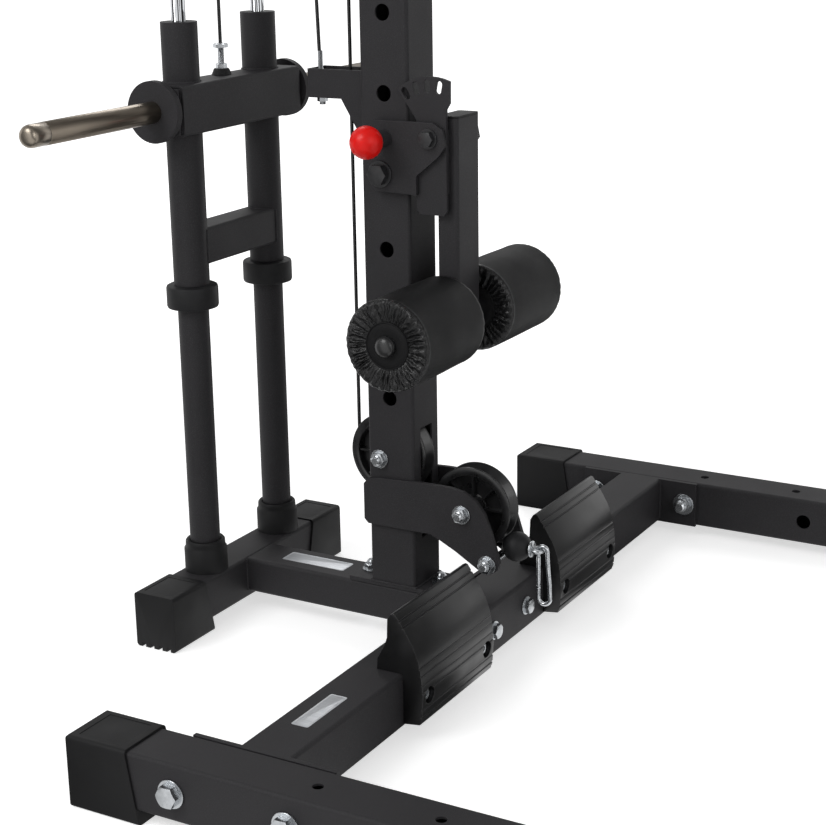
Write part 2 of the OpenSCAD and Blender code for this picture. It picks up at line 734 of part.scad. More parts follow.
// Anchor bracket behind the post with the dead end of the low cable
module anchor_bracket() {
    side = [[half, anchor_top_z], [122, anchor_top_z], [122, 735], [72, 735], [49, 697], [half, 690]];
    color(steel) difference() {
        union() {
            both_sides() side_plate(18, 21) polygon(side);
            plate(-18, 18, 119.5, 122, 735, anchor_top_z);
            plate(-18, 18, 80, 119.5, 735, 740);
        }
        rod_z(4.3, 0, anchor_y - 1.6, 730, 745);
    }
}

module anchor_ferrule() {
    color(zinc) {
        rod_z(3.2, 0, anchor_y, 769, ferrule_z);
        rod_z(4, 0, anchor_y - 1.6, 724, 760);
        translate([0, anchor_y - 0.8, 758]) cylinder(r = 3.6, h = 12);
        translate([0, anchor_y - 1.6, 728]) cylinder(r = 7, h = 7, $fn = 6);
        translate([0, anchor_y - 1.6, 740]) cylinder(r = 6.4, h = 6, $fn = 6);
    }
}

// Low pulley bracket, axles and stops
module low_pulley_bracket() {
    y = low_pulley_y;
    z = low_pulley_z;
    outline = concat(
        [[half - 1, z - 35.5], [half + 5, z - 29.5], [half + 5, z + 20.5], [half - 2, z + 28.5],
            [half - 21, z + 31.5], [-half - 12, z + 34.5]],
        [[y + 17.5, z + 34.5], [y - 2.5, z + 31.5], [y - 20.5, z + 21.5], [y - 33.5, z + 5.5],
            [y - 43.5, z - 20.5]],
        [for (p = [[-16, 12.5], [-18, 3.5], [-15, -5.5], [-7, -11.5], [5, -13.5], [15, -8.5]])
            stop_bolt + p],
        [[y + 9.5, z - 53.5], [y + 35.5, z - 40.5], [y + 47.5, z - 35.5]]);
    color(steel) difference() {
        both_sides() side_plate(half, half + bracket_t) polygon(outline);
        rod_x(axle_fit_r, -beam_w, beam_w, low_pulley_y, low_pulley_z);
        rod_x(axle_fit_r, -beam_w, beam_w, stop_bolt[0], stop_bolt[1]);
    }
}

module bracket_bolts() {
    grip = half + bracket_t;
    color(zinc) {
        cross_bolt(plate_bolt_d, grip, stop_bolt[0], stop_bolt[1]);
        translate([-holder_out, 0, holder_hole_z]) along_x() hex_bolt(frame_bolt_d, 2 * holder_out);
        rod_x(hole_d / 2 - gap, -half, half, 0, holder_hole_z);
        translate([-holder_out, pivot_y, pivot_z]) along_x() hex_bolt(plate_bolt_d, 2 * holder_out);
    }
}

module pulley_axles() {
    color(zinc) {
        axle(half, post_pulley_y, post_pulley_z, half - beam_wall - 0.5);
        axle(half + bracket_t, low_pulley_y, low_pulley_z, half - gap);
        for (y = [rear_top_y, mid_top_y, lat_y]) axle(boom_out, y, boom_axle_z, rail_gap / 2 - gap);
    }
}

// Cables that stay with the frame
reach_y = ball_y + (ball_d / 2 + 0.5) * cos(pull_tilt);
reach_z = ball_z - (ball_d / 2 + 0.5) * sin(pull_tilt);
module top_cable() {
    cable(arc(rear_top_y, boom_axle_z, reeve_r, 0, 180, 18), cable_r);
    cable(concat(arc(mid_top_y, boom_axle_z, reeve_r, 0, 90, 9), arc(lat_y, boom_axle_z, reeve_r, 90, 180, 9),
        [[0, lat_y - reeve_r, lat_ball_z + ball_d / 2 + gap]]), cable_r);
}

module low_cable() {
    cable(concat(arc(post_pulley_y, post_pulley_z, reeve_r, 360, 360 + run_angle, 8),
        arc(low_pulley_y, low_pulley_z, reeve_r, 360 + run_angle, leave_angle, 3),
        [[0, reach_y, reach_z]]), cable_r);
}

module carriage_cable() {
    color(plastic) rod_z(cable_r, 0, rod_y, adjuster_top_z + gap, boom_axle_z - gap);
}

lat_ball_z = boom_axle_z - rim_r - ball_d / 2 - 6;
// Ball stop with an eye; the pull direction is along -Z before it is turned
module ball_stop() {
    color(plastic) difference() {
        sphere(d = ball_d, $fn = 64);
        translate([0, 0, -ball_d]) cylinder(r = 6, h = ball_d / 2 + 2);
    }
}

module eye_bolt() {
    color(zinc) {
        translate([0, 0, -ball_d / 2 - 1]) cylinder(r = 6 - gap, h = 3 - gap);
        translate([0, 0, -ball_d / 2 - 3]) cylinder(r = 11, h = 2.5);
        translate([0, 0, -ball_d / 2 - 10]) rotate([90, 0, 0]) rotate_extrude()
            translate([eye_r, 0]) circle(eye_wire, $fn = 24);
    }
}

module lat_ball_stop() {
    translate([0, lat_y - reeve_r, lat_ball_z]) {
        ball_stop();
        eye_bolt();
    }
}

module low_ball_stop() {
    translate([0, ball_y, ball_z]) rotate([-90, 0, 0]) {
        ball_stop();
        eye_bolt();
    }
}

// Pear-shaped carabiner in the plane of Y and Z, hanging on the front of the eye
module low_carabiner() {
    gate_y = hook_y + hook_r;
    spine = (hook_low_r - hook_r) * 2;
    route = concat([[0, gate_y, hook_z - gate_top]], arc(hook_y, hook_z, hook_r, 0, 180, 10),
        [[0, hook_y - hook_r - spine * 0.2, hook_z - 16], [0, hook_y - hook_r - spine * 0.8, hook_low_z + 20]],
        arc(hook_low_y, hook_low_z, hook_low_r, 180, 360, 12), [[0, gate_y, hook_low_z + gate_low]]);
    color("#c9ccd0") sweep(route, hook_wire, 12);
}

module carabiner_gate() {
    color("#c9ccd0") rod_z(hook_wire, 0, hook_y + hook_r, hook_low_z + gate_low + soft_gap,
        hook_z - gate_top - soft_gap);
}

// Floating block between the two cables
module block_plates() {
    side = 18;
    color(steel) difference() {
        both_sides() block_side(side, side + 4);
        rod_x(axle_fit_r, -30, 30, block_low_y, block_z);
        rod_x(axle_fit_r, -30, 30, block_up_y, block_up_z);
    }
}

module block_side(x0, x1) {
    a = 22;
    b = 10;
    c = 14;
    lower_end = [[block_low_y - a, block_z - c], [block_low_y - b, block_z - a],
        [block_low_y + b, block_z - a], [block_low_y + a, block_z - c]];
    upper_end = [[block_up_y + a, block_up_z + c], [block_up_y + b, block_up_z + a],
        [block_up_y - b, block_up_z + a], [block_up_y - a, block_up_z + c]];
    side_plate(x0, x1) polygon(concat(lower_end, upper_end));
}

module block_axles() {
    color(zinc) for (c = [[block_low_y, block_z], [block_up_y, block_up_z]]) axle(22, c[0], c[1], 18 - gap);
}

module block_upper_cable() {
    cable(concat([[0, rear_drop_y, boom_axle_z - gap]], arc(block_up_y, block_up_z, block_up_r, 0, -180, 18),
        [[0, front_rise_y, boom_axle_z - gap]]), cable_r);
}

module block_lower_cable() {
    cable(concat([[0, anchor_y, ferrule_z + gap]], arc(block_low_y, block_z, block_low_r, 0, 180, 18),
        [[0, low_line_y, post_pulley_z + gap]]), cable_r);
}

// Leg holder: fixed bracket, lock plate, arm and rollers
module leg_bracket() {
    y = pivot_y;
    z = pivot_z;
    outline = [[y - 20, z + 12], [y - 6, z + 20], [8, z + 20], [18, z + 8], [18, z - 58],
        [8, z - 70], [y + 18, z - 72], [y + 18, z - 48], [y - 14, z - 22], [y - 24, z - 8]];
    color(steel) difference() {
        union() {
            both_sides() side_plate(holder_in, holder_out) polygon(outline);
            plate(-holder_in, holder_in, y + 25, -half - gap, z - 71, z - 52);
        }
        rod_x(axle_fit_r, -60, 60, y, z);
        rod_x(frame_bolt_d / 2 + 0.25, -60, 60, 0, holder_hole_z);
        rod_x(pin_r + 0.06, -60, 0, pin_y, pin_z);
    }
}

module pull_pin_barrel() {
    color(steel) translate([-barrel_end, pin_y, pin_z]) along_x() difference() {
        cylinder(r = barrel_r, h = barrel_end - holder_out);
        translate([0, 0, -1]) cylinder(r = pin_r + 0.06, h = 40);
        translate([0, 0, 2]) cylinder(r = 8, h = 40);
    }
}

module pull_pin() {
    color(zinc) {
        rod_x(pin_r, -knob_x - 6, -lock_in - lock_t - 0.4, pin_y, pin_z);
        rod_x(7.6, -holder_out - 2.5, -holder_out - 0.2, pin_y, pin_z);
    }
}

module pull_pin_knob() {
    color("#d81e1e") translate([-knob_x, pin_y, pin_z]) along_x() difference() {
        sphere(d = knob_d, $fn = 64);
        translate([0, 0, knob_x - barrel_end - 2]) cylinder(r = barrel_r + 1, h = knob_d);
        translate([0, 0, -6 - gap]) cylinder(r = pin_r, h = knob_d);
    }
}

module pull_pin_spring() {
    color("#8d9095") translate([-barrel_end + 2 + gap, pin_y, pin_z]) along_x()
        ring(7.4, pin_r + 0.6, barrel_end - holder_out - 4.7 - 2 * gap);
}

module lock_plate_outline() {
    y = pivot_y;
    z = pivot_z;
    difference() {
        polygon(concat([[y - 22, z + 36], [y - 27, z + 44]],
            [for (k = [0:8]) let(a = lock_front + k * lock_arc / 8)
                [y - lock_plate_r * cos(a), z + lock_plate_r * sin(a)]],
            [[y + 20, z + 22], [y + 21, z - 90], [y + 17, z - 97], [y - 18, z - 97], [y - 22, z - 91]]));
        for (a = lock_angles) translate([y, z]) rotate(180 - a) translate([lock_r, 0]) {
            square([slot_len, 2 * (pin_r + slot_fit)], center = true);
            for (s = [-1, 1]) translate([s * slot_len / 2, 0]) circle(pin_r + slot_fit, $fn = 32);
        }
    }
}

module leg_arm() {
    color(steel) difference() {
        union() {
            translate([0, arm_mid_y, arm_low_z]) tube_z(arm_w, arm_d, arm_top_z - arm_low_z);
            rod_x(9, -lock_in, holder_in - 1, pivot_y, pivot_z);
            side_plate(-lock_in - lock_t, -lock_in) lock_plate_outline();
            plate(-lock_in, -arm_w / 2, arm_rear_y - arm_d + 12, arm_rear_y - 6, pivot_z - 70, pivot_z + 10);
        }
        rod_x(axle_r + 0.06, -60, 60, pivot_y, pivot_z);
        rod_x(roller_axle_d / 2 + gap, -60, 60, arm_mid_y, roller_z);
    }
}

module leg_arm_caps() {
    w = arm_w - 2 * beam_wall - 2 * gap;
    d = arm_d - 2 * beam_wall - 2 * gap;
    color(plastic) for (e = [[arm_top_z, 1], [arm_low_z, -1]]) translate([0, arm_mid_y, e[0]]) {
        translate([0, 0, e[1] * 1.5]) linear_extrude(3, center = true) round_rect(arm_w, arm_d, corner_r);
        if (e[1] > 0) translate([0, 0, -3.5]) linear_extrude(3.6) round_rect(w, d, 2);
    }
}

module roller_axle() {
    color("#9a9da2") translate([-roller_end, arm_mid_y, roller_z]) along_x()
        ring(roller_axle_d / 2, roller_axle_d / 2 - 2.5, 2 * roller_end);
}

module foam_roller() {
    r = roller_d / 2;
    a = 36.5;
    b = roller_end;
    bore = roller_axle_d / 2 + gap;
    profile = [[bore, a], [r - 10, a], [r - 4, a + 3], [r - 0.8, a + 10], [r, a + 30], [r, b - 30],
        [r - 0.8, b - 12], [r - 4, b - 4], [r - 10, b], [r * 0.5, b - 3], [bore, b - 3]];
    color("#2b2b2d") translate([0, arm_mid_y, roller_z]) along_x() rotate_extrude($fn = 64) polygon(profile);
}

module roller_hubs() {
    color(plastic) both_sides() translate([roller_end + gap, arm_mid_y, roller_z]) along_x() {
        cylinder(r = roller_axle_d / 2 + 1, h = 2.5);
        translate([0, 0, 2.5]) intersection() {
            translate([0, 0, -8]) sphere(r = 15);
            cylinder(r = 15, h = 10);
        }
    }
}

// Carriage
module sleeve_solids(r) { both_sides() rod_z(r, rod_half, rod_y, sleeve_bottom, sleeve_top); }
module carriage_frame() {
    adjuster_hole = 4.6;
    color(steel) difference() {
        union() {
            difference() {
                union() {
                    translate([0, box_y, box_z]) tube_x(box_h, box_d, -box_half, box_half);
                    translate([0, rod_y, low_bar_z + low_bar_h / 2])
                        tube_x(low_bar_h, low_bar_d, -rod_half, rod_half);
                }
                rod_z(adjuster_hole, 0, rod_y, box_z, box_top_z + 1);
            }
            sleeve_solids(sleeve_d / 2);
            both_sides() {
                plate(box_half - end_plate_t, box_half, box_y - box_d / 2 + 4, box_y + box_d / 2 - 4,
                    box_z - box_h / 2 + 4, box_top_z - 4);
                rod_x(neck_r, box_half - end_plate_t, disc_x, rod_y, box_z);
                plate(box_half + 4, box_half + 4 + end_plate_t, box_y - box_d / 2 + 3, box_y + box_d / 2 - 3,
                    box_z - box_h / 2 + 3, box_top_z - 3);
                rod_x(disc_d / 2, disc_x, disc_x + disc_t, rod_y, box_z);
            }
        }
        translate([0, 0, -1]) both_sides() rod_z(sleeve_bore, rod_half, rod_y, sleeve_bottom, sleeve_top + 2);
    }
}

module carriage_bushes() {
    color(plastic) both_sides() for (z = [sleeve_bottom, sleeve_top - bush_len])
        translate([rod_half, rod_y, z]) ring(sleeve_bore - 0.05, bush_bore, bush_len);
}

module weight_horns() {
    r = horn_d / 2;
    a = disc_x + disc_t;
    t = horn_end - horn_tip;
    color("#a89f92") both_sides() translate([0, rod_y, box_z]) along_x() rotate_extrude()
        polygon([[0, a], [r, a], [r, t], [r - 0.6, t + 0.6], [r - 0.6, t + 2], [r - 0.2, t + 2.6],
            [r - 0.2, horn_end - 9], [r - 2, horn_end - 4], [r - 6, horn_end], [0, horn_end]]);
}

adjuster_top_z = box_top_z + 42;
module cable_adjuster() {
    color(zinc) translate([0, rod_y, box_top_z]) {
        cylinder(r1 = 13.5, r2 = 10, h = 8.5);
        translate([0, 0, 8.5]) cylinder(r = 6.9, h = 6.5, $fn = 6);
        translate([0, 0, -beam_wall]) cylinder(r = 4.35, h = 42 + beam_wall);
        translate([0, 0, 36]) cylinder(r = 10.2, h = 6, $fn = 6);
        translate([0, 0, -beam_wall - 8]) cylinder(r = 8, h = 8, $fn = 6);
    }
}

// J-cups and spotter arms on the front faces of the uprights
cup_hole_z = first_hole_z + 9 * hole_pitch;
module j_cups() {
    f = upright_y - half;
    z = cup_hole_z;
    outline = [[f - gap, z + 60], [f - 8, z + 60], [f - 8, z - 30], [f - 70, z - 30], [f - 74, z + 4],
        [f - 84, z + 8], [f - 84, z - 32], [f - 74, z - 44], [f - gap, z - 60]];
    color(steel) both_sides() {
        side_plate(track_half - 30, track_half + 30) polygon(outline);
        rod_y_dir(hole_d / 2 - 0.4, track_half, f - 2, f + 50, z);
    }
}

arm_hole_z = first_hole_z + 4 * hole_pitch;
arm_len = 380;
module spotter_arms() {
    f = upright_y - half;
    z = arm_hole_z;
    color(steel) both_sides() {
        plate(track_half - half, track_half + half, f - 8, f - gap, z - 30, z + hole_pitch + 30);
        for (k = [0, 1]) rod_y_dir(hole_d / 2 - 0.4, track_half, f - 2, f + 50, z + k * hole_pitch);
        side_plate(track_half - 25, track_half + 25)
            polygon([[f - 8, z + 20], [f - 8, z + 80], [f - arm_len + 12, z + 80],
                [f - arm_len + 8, z + 120], [f - arm_len, z + 120], [f - arm_len, z + 50],
                [f - arm_len + 30, z + 30]]);
    }
}

module place() { translate([0, shift_y, 0]) children(); }

place() side_beam(-1);  // side_beam_left
place() side_beam(1);  // side_beam_right
place() foot_caps();
place() cross_beam();
place() frame_bolts();
place() rear_base();
place() plate_bolts();
place() centre_post();
place() end_plates();
place() rod_cups();
place() stop_tubes();
place() bumper_collars();
place() guide_rods();
place() rod_head();
place() footrests();
place() footrest_bolts();
place() anchor_bracket();
place() anchor_ferrule();
place() low_pulley_bracket();
place() bracket_bolts();
place() pulley_axles();
place() leg_bracket();
place() pull_pin_barrel();
place() uprights();
place() top_cross_beam();
place() top_boom();
place() pull_up_bar();
place() top_cable();
place() low_cable();
place() carriage_cable();
place() lat_ball_stop();
place() j_cups();
place() spotter_arms();
place() pulley(reeve_r, post_pulley_y, post_pulley_z);  // post_pulley
place() pulley(reeve_r, low_pulley_y, low_pulley_z);  // low_pulley
place() pulley(reeve_r, rear_top_y, boom_axle_z);  // rear_top_pulley
place() pulley(reeve_r, mid_top_y, boom_axle_z);  // mid_top_pulley
place() pulley(reeve_r, lat_y, boom_axle_z);  // lat_pulley
place() block_plates();
place() block_axles();
place() pulley(block_up_r, block_up_y, block_up_z);  // block_upper_pulley
place() pulley(block_low_r, block_low_y, block_z);  // block_lower_pulley
place() block_upper_cable();
place() block_lower_cable();
place() low_ball_stop();
place() low_carabiner();
place() carabiner_gate();
place() pull_pin();
place() pull_pin_knob();
place() pull_pin_spring();
place() leg_arm();
place() leg_arm_caps();
place() roller_axle();
place() mirror([1, 0, 0]) foam_roller();  // foam_roller_left
place() foam_roller();  // foam_roller_right
place() roller_hubs();
place() carriage_frame();
place() carriage_bushes();
place() weight_horns();
place() cable_adjuster();
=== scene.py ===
import math

import bmesh
import bpy
from bpy.props import FloatProperty, IntProperty, StringProperty
from mathutils import Matrix, Vector, noise


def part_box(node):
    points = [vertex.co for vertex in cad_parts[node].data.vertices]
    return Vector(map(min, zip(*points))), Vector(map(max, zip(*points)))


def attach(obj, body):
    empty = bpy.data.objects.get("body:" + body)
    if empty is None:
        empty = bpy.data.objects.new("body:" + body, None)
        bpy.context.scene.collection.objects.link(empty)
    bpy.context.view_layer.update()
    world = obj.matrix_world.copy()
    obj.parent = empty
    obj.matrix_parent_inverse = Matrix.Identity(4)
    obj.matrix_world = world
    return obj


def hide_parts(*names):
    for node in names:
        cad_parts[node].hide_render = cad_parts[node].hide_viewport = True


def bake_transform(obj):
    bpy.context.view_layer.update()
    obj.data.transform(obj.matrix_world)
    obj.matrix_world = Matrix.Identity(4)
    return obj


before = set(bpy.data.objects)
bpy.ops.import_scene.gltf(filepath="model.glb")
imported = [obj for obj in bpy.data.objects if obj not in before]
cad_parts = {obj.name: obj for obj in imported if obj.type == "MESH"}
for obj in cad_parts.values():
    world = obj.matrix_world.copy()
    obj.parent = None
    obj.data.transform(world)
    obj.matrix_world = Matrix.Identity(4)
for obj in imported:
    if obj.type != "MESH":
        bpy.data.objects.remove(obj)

bl_info = {
    "name": "Half rack finishes",
    "version": (1, 0, 0),
    "blender": (4, 5, 0),
    "location": "3D View > Sidebar > Half rack",
    "description": "Finishes, fittings and padded parts of a half rack with a cable carriage",
    "category": "Object",
}

MM = 0.001
CAD_JOIN, MESH_JOIN = 2e-6, 1e-6
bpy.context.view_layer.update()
X_AXIS, Y_AXIS, Z_AXIS = Vector((1, 0, 0)), Vector((0, 1, 0)), Vector((0, 0, 1))


def middle(node):
    """Middle of a node's box."""
    low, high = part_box(node)
    return (low + high) / 2


def radius_of(node):
    """Half the height of a round node that lies along X."""
    low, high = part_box(node)
    return (high.z - low.z) / 2


class RackSizes(bpy.types.PropertyGroup):
    cable_radius: FloatProperty(
        name="Cable radius", description="Radius of the jacketed cable",
        default=2.4 * MM, min=1 * MM, max=4 * MM, unit="LENGTH")
    soft_edge: FloatProperty(
        name="Moulded edge", description="Rounding of the edges of moulded parts",
        default=1.2 * MM, min=0.2 * MM, max=3 * MM, unit="LENGTH")
    pleats: IntProperty(
        name="Pleats", description="Gathered folds around one end of a roller cover",
        default=34, min=12, max=60)
    pleat_depth: FloatProperty(
        name="Pleat depth", description="Height of the folds of a roller cover",
        default=4.8 * MM, min=0, max=6 * MM, unit="LENGTH")
    weld_radius: FloatProperty(
        name="Weld radius", description="Radius of a weld bead in a corner",
        default=1.8 * MM, min=1 * MM, max=6 * MM, unit="LENGTH")
    weld_pitch: FloatProperty(
        name="Weld pitch", description="Distance between the ripples of a weld bead",
        default=2.0 * MM, min=1 * MM, max=8 * MM, unit="LENGTH")
    coat_grain: FloatProperty(
        name="Coat grain", description="Size of a grain of the powder coat's fine texture",
        default=1.1 * MM, min=0.3 * MM, max=4 * MM, unit="LENGTH")


class RackColours(bpy.types.PropertyGroup):
    coat: StringProperty(name="Powder coat", description="Colour of the frame", default="#2e2d2f")
    # Colour of the painted edge highlight on the frame, with a little wear
    coat_edge_highlight: StringProperty(name="Coat edge", description="Colour on rubbed edges", default="#434245")
    moulded: StringProperty(name="Moulded parts", description="Colour of the caps", default="#171718")
    rubber: StringProperty(name="Rubber", description="Colour of the bumpers", default="#18181a")
    nylon: StringProperty(name="Nylon", description="Colour of the pulleys", default="#171718")
    cover: StringProperty(name="Roller cover", description="Colour of the covers", default="#131314")
    knob: StringProperty(name="Knob", description="Colour of the pull pin's knob", default="#ee110b")
    horn: StringProperty(name="Weight horn", description="Colour of the bare steel", default="#857c70")
    zinc: StringProperty(name="Zinc", description="Colour of the plated bolts", default="#c6c9cc")


def rack():
    """The sizes and colours kept on the scene."""
    return bpy.context.scene.rack_sizes, bpy.context.scene.rack_colours


# Materials

NOISE, RANGE, MATH, VECTOR = (
    "ShaderNodeTexNoise", "ShaderNodeMapRange", "ShaderNodeMath", "ShaderNodeVectorMath")


def linear(hex_colour):
    """Linear colour of an sRGB hex value."""
    parts = [int(hex_colour[i:i + 2], 16) / 255 for i in (1, 3, 5)]
    return tuple(c / 12.92 if c <= 0.04045 else ((c + 0.055) / 1.055) ** 2.4 for c in parts) + (1.0,)


def add(tree, kind, inputs=(), **settings):
    """Adds a node with its settings. Inputs come in order or by name: values, sockets, or nodes to join."""
    made = tree.nodes.new(kind)
    for name, value in settings.items():
        setattr(made, name, value)
    for name, value in inputs.items() if isinstance(inputs, dict) else enumerate(inputs):
        if isinstance(value, bpy.types.Node):
            value = value.outputs[0]
        if isinstance(value, bpy.types.NodeSocket):
            tree.links.new(value, made.inputs[name])
        else:
            made.inputs[name].default_value = value
    return made


def new_material(name):
    """An empty node material, its tree and its object coordinates."""
    material = bpy.data.materials.new(name)
    material.use_nodes = True
    tree = material.node_tree
    tree.nodes.clear()
    return material, tree, add(tree, "ShaderNodeTexCoord").outputs["Object"]


def surfaced(material, tone, rough, relief=None, rounded=None, metallic=0.0, specular=0.5, coat=0.0):
    """Ends a material in its surface. A relief is a height, its depth and its strength."""
    tree = material.node_tree
    inputs = {"Base Color": tone, "Roughness": rough, "Metallic": metallic,
              "Specular IOR Level": specular, "Coat Weight": coat}
    if relief:
        bump = dict(zip(("Height", "Distance", "Strength"), relief))
        if rounded is not None:
            bump["Normal"] = rounded
        inputs["Normal"] = add(tree, "ShaderNodeBump", bump)
    add(tree, "ShaderNodeOutputMaterial", [add(tree, "ShaderNodeBsdfPrincipled", inputs)])
    return material


def blended(tree, pattern, low, high, first, second, share=1.0):
    """Colour that goes from the first towards the second as a pattern goes from low to high."""
    factor = add(tree, RANGE, [pattern, low, high, 0.0, share])
    first, second = (linear(c) if isinstance(c, str) else c for c in (first, second))
    return add(tree, "ShaderNodeMix", {0: factor, 6: first, 7: second}, data_type="RGBA").outputs[2]


def clouded(name, first, second, patch, detail, span, rough,
            relief=None, fine=0.5, stretch=None, edge=None, **more):
    """A surface whose colour and sheen drift in soft patches. Where it has them, the patches are drawn out,
    a fine relief lies over it, and its rounded edges get a paler painted edge highlight."""
    material, tree, place = new_material(name)
    drawn = add(tree, "ShaderNodeMapping", {"Vector": place, "Scale": stretch}) if stretch else place
    patches = add(tree, NOISE, {"Vector": drawn, "Scale": 1 / patch, "Detail": detail, "Roughness": fine})
    tone = blended(tree, patches, *span, first, second)
    rounded = None
    if edge:
        radius, pale, share = edge
        # Painted edge highlight: the rounded edges are mixed towards the pale colour
        highlit, rounded = edge_mask(tree, radius)
        tone = blended(tree, highlit, 0.0, 1.0, tone, pale, share)
    if relief:
        size, fineness, depth, strength = relief
        skin = add(tree, NOISE, {"Vector": place, "Scale": 1 / size, "Detail": fineness})
        relief = (skin, depth, strength)
    rough = add(tree, RANGE, [patches, 0.3, 0.7, *rough])
    return surfaced(material, tone, rough, relief, rounded, **more)


def edge_mask(tree, radius):
    """1 on convex and concave edges and 0 on flat faces, with the rounded normal."""
    rounded = add(tree, "ShaderNodeBevel", [radius], samples=4)
    flat = add(tree, "ShaderNodeNewGeometry").outputs["Normal"]
    same = add(tree, VECTOR, [rounded, flat], operation="DOT_PRODUCT").outputs["Value"]
    return add(tree, RANGE, [same, 1.0, 0.9, 0.0, 1.0]), rounded


def powder_coat():
    """Fine-textured polyester powder coat on steel: a dry charcoal sheen, lighter on edges as a painted edge
    highlight with a little wear.
    Its grain is drawn coarser than the real one, so that it shows."""
    sizes, colours = rack()
    material, tree, place = new_material("powder_coated_steel")
    edge, rounded = edge_mask(tree, 1.2 * MM)
    cloud = add(tree, NOISE, {"Vector": place, "Scale": 1 / (90 * MM), "Detail": 4.0})
    speck = add(tree, NOISE, {"Vector": place, "Scale": 1 / sizes.coat_grain, "Detail": 2.0})
    tone = blended(tree, cloud, 0.35, 0.65, "#2a292b", colours.coat)
    tone = blended(tree, speck, 0.48, 0.75, tone, "#403f41", 0.6)
    # Painted edge highlight, with a little wear: every edge is mixed towards the pale edge colour
    tone = blended(tree, edge, 0.0, 1.0, tone, colours.coat_edge_highlight, 0.4)
    return surfaced(material, tone, add(tree, RANGE, [cloud, 0.3, 0.7, 0.52, 0.62]),
                    (speck, 0.16 * MM, 0.6), rounded, specular=0.22)


def moulded_plastic():
    """Injection-moulded polypropylene with a fine spark-eroded skin: black, soft sheen."""
    return clouded("moulded_polypropylene", rack()[1].moulded, "#1c1c1d", 45 * MM, 3.0,
                   (0.3, 0.7), (0.52, 0.62), (0.9 * MM, 2.0, 0.06 * MM, 0.4), specular=0.22)


def rest_plastic():
    """Polished mould faces in black polypropylene: deep black with a clear sheen and a pale painted highlight
    on its edges.
    """
    # The edge entry paints a pale highlight along the footrests' edges
    return clouded("polished_polypropylene", "#0f0f10", "#161617", 30 * MM, 3.0, (0.3, 0.7), (0.3, 0.38),
                   (1.2 * MM, 3.0, 0.03 * MM, 0.4), edge=(0.9 * MM, "#5a5a5c", 0.55), specular=0.45)


def bumper_rubber():
    """Moulded rubber: dull black with a faint bloom."""
    return clouded("moulded_rubber", rack()[1].rubber, "#222223", 18 * MM, 5.0, (0.4, 0.75), (0.5, 0.66),
                   (1.4 * MM, 2.0, 0.1 * MM, 0.4), fine=0.65, specular=0.3)


def pulley_nylon():
    """Moulded glass-filled nylon: hard, black and glossy with slight flow marks."""
    return clouded("glass_filled_nylon", rack()[1].nylon, "#232324", 22 * MM, 3.0, (0.35, 0.7), (0.24, 0.36),
                   (2.5 * MM, 3.0, 0.03 * MM, 0.5), coat=0.15)


def hub_plastic():
    """Moulded nylon caps of the rollers: black, a little softer in gloss than the pulleys."""
    return clouded("glossy_hub_plastic", "#1c1c1d", "#232324", 22 * MM, 3.0, (0.35, 0.7), (0.3, 0.4),
                   (2.5 * MM, 3.0, 0.03 * MM, 0.5), coat=0.15)


def cable_jacket():
    """Extruded nylon jacket over wire rope: the strands show through as a faint slanted rib."""
    material, tree, place = new_material("nylon_cable_jacket")
    turned = add(tree, "ShaderNodeMapping", {"Vector": place, "Rotation": (0.5, 0.35, 0.0)})
    lay = add(tree, "ShaderNodeTexWave", {"Vector": turned, "Scale": 160.0, "Distortion": 0.6},
              wave_type="BANDS", bands_direction="Z").outputs["Fac"]
    return surfaced(material, blended(tree, lay, 0, 1, "#101011", "#1a1a1b"), 0.28, (lay, 0.06 * MM, 0.6))


def chromed_steel():
    """Ground and hard-chromed rod: mirror bright with faint polishing rings."""
    return clouded("chromed_steel_rod", "#dcdee1", "#d4d7da", 60 * MM, 2.0, (0.3, 0.7), (0.05, 0.08),
                   stretch=(1, 1, 90), metallic=1.0)


def horn_tip_start():
    """Where the turned tip of a weight horn begins."""
    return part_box("weight_horns")[1].x - 34 * MM


def horn_steel():
    """Drawn bare steel, oiled: a brown satin with lengthwise marks and a smooth turned tip."""
    material, tree, place = new_material("bare_drawn_steel")
    drawn = add(tree, "ShaderNodeMapping", {"Vector": place, "Scale": (1, 26, 26)})
    streak = add(tree, NOISE, {"Vector": drawn, "Scale": 1 / (60 * MM), "Detail": 4.0})
    stain = add(tree, NOISE, {"Vector": place, "Scale": 1 / (60 * MM), "Detail": 2.0})
    along = add(tree, "ShaderNodeSeparateXYZ", [place]).outputs["X"]
    reach = add(tree, MATH, [along], operation="ABSOLUTE")
    start = horn_tip_start()
    tip = add(tree, RANGE, [reach, start, start + 1 * MM, 0.0, 1.0])
    tone = blended(tree, stain, 0.35, 0.7, rack()[1].horn, "#7b7267")
    tone = blended(tree, streak, 0.45, 0.75, tone, "#9a9186", 0.25)
    tone = blended(tree, tip, 0, 1, tone, "#958c80")
    dull = add(tree, RANGE, [streak, 0.3, 0.7, 0.28, 0.36])
    scored = add(tree, RANGE, [tip, 0.0, 1.0, streak, 0.5])
    return surfaced(material, tone, add(tree, RANGE, [tip, 0.0, 1.0, dull, 0.33]),
                    (scored, 0.04 * MM, 0.5), metallic=1.0)


def zinc_plate():
    """Bright zinc-plated steel: pale and slightly cloudy, darker in handling marks."""
    material, tree, place = new_material("zinc_plated_steel")
    rounded = add(tree, "ShaderNodeBevel", [0.4 * MM], samples=4)
    cloud = add(tree, NOISE, {"Vector": place, "Scale": 1 / (9 * MM), "Detail": 2.0})
    marks = add(tree, NOISE, {"Vector": place, "Scale": 1 / (1.2 * MM), "Detail": 3.0})
    return surfaced(material, blended(tree, cloud, 0.35, 0.7, rack()[1].zinc, "#b3b6b9"),
                    add(tree, RANGE, [cloud, 0.3, 0.7, 0.24, 0.3]),
                    (marks, 0.008 * MM, 0.4), rounded, metallic=1.0)


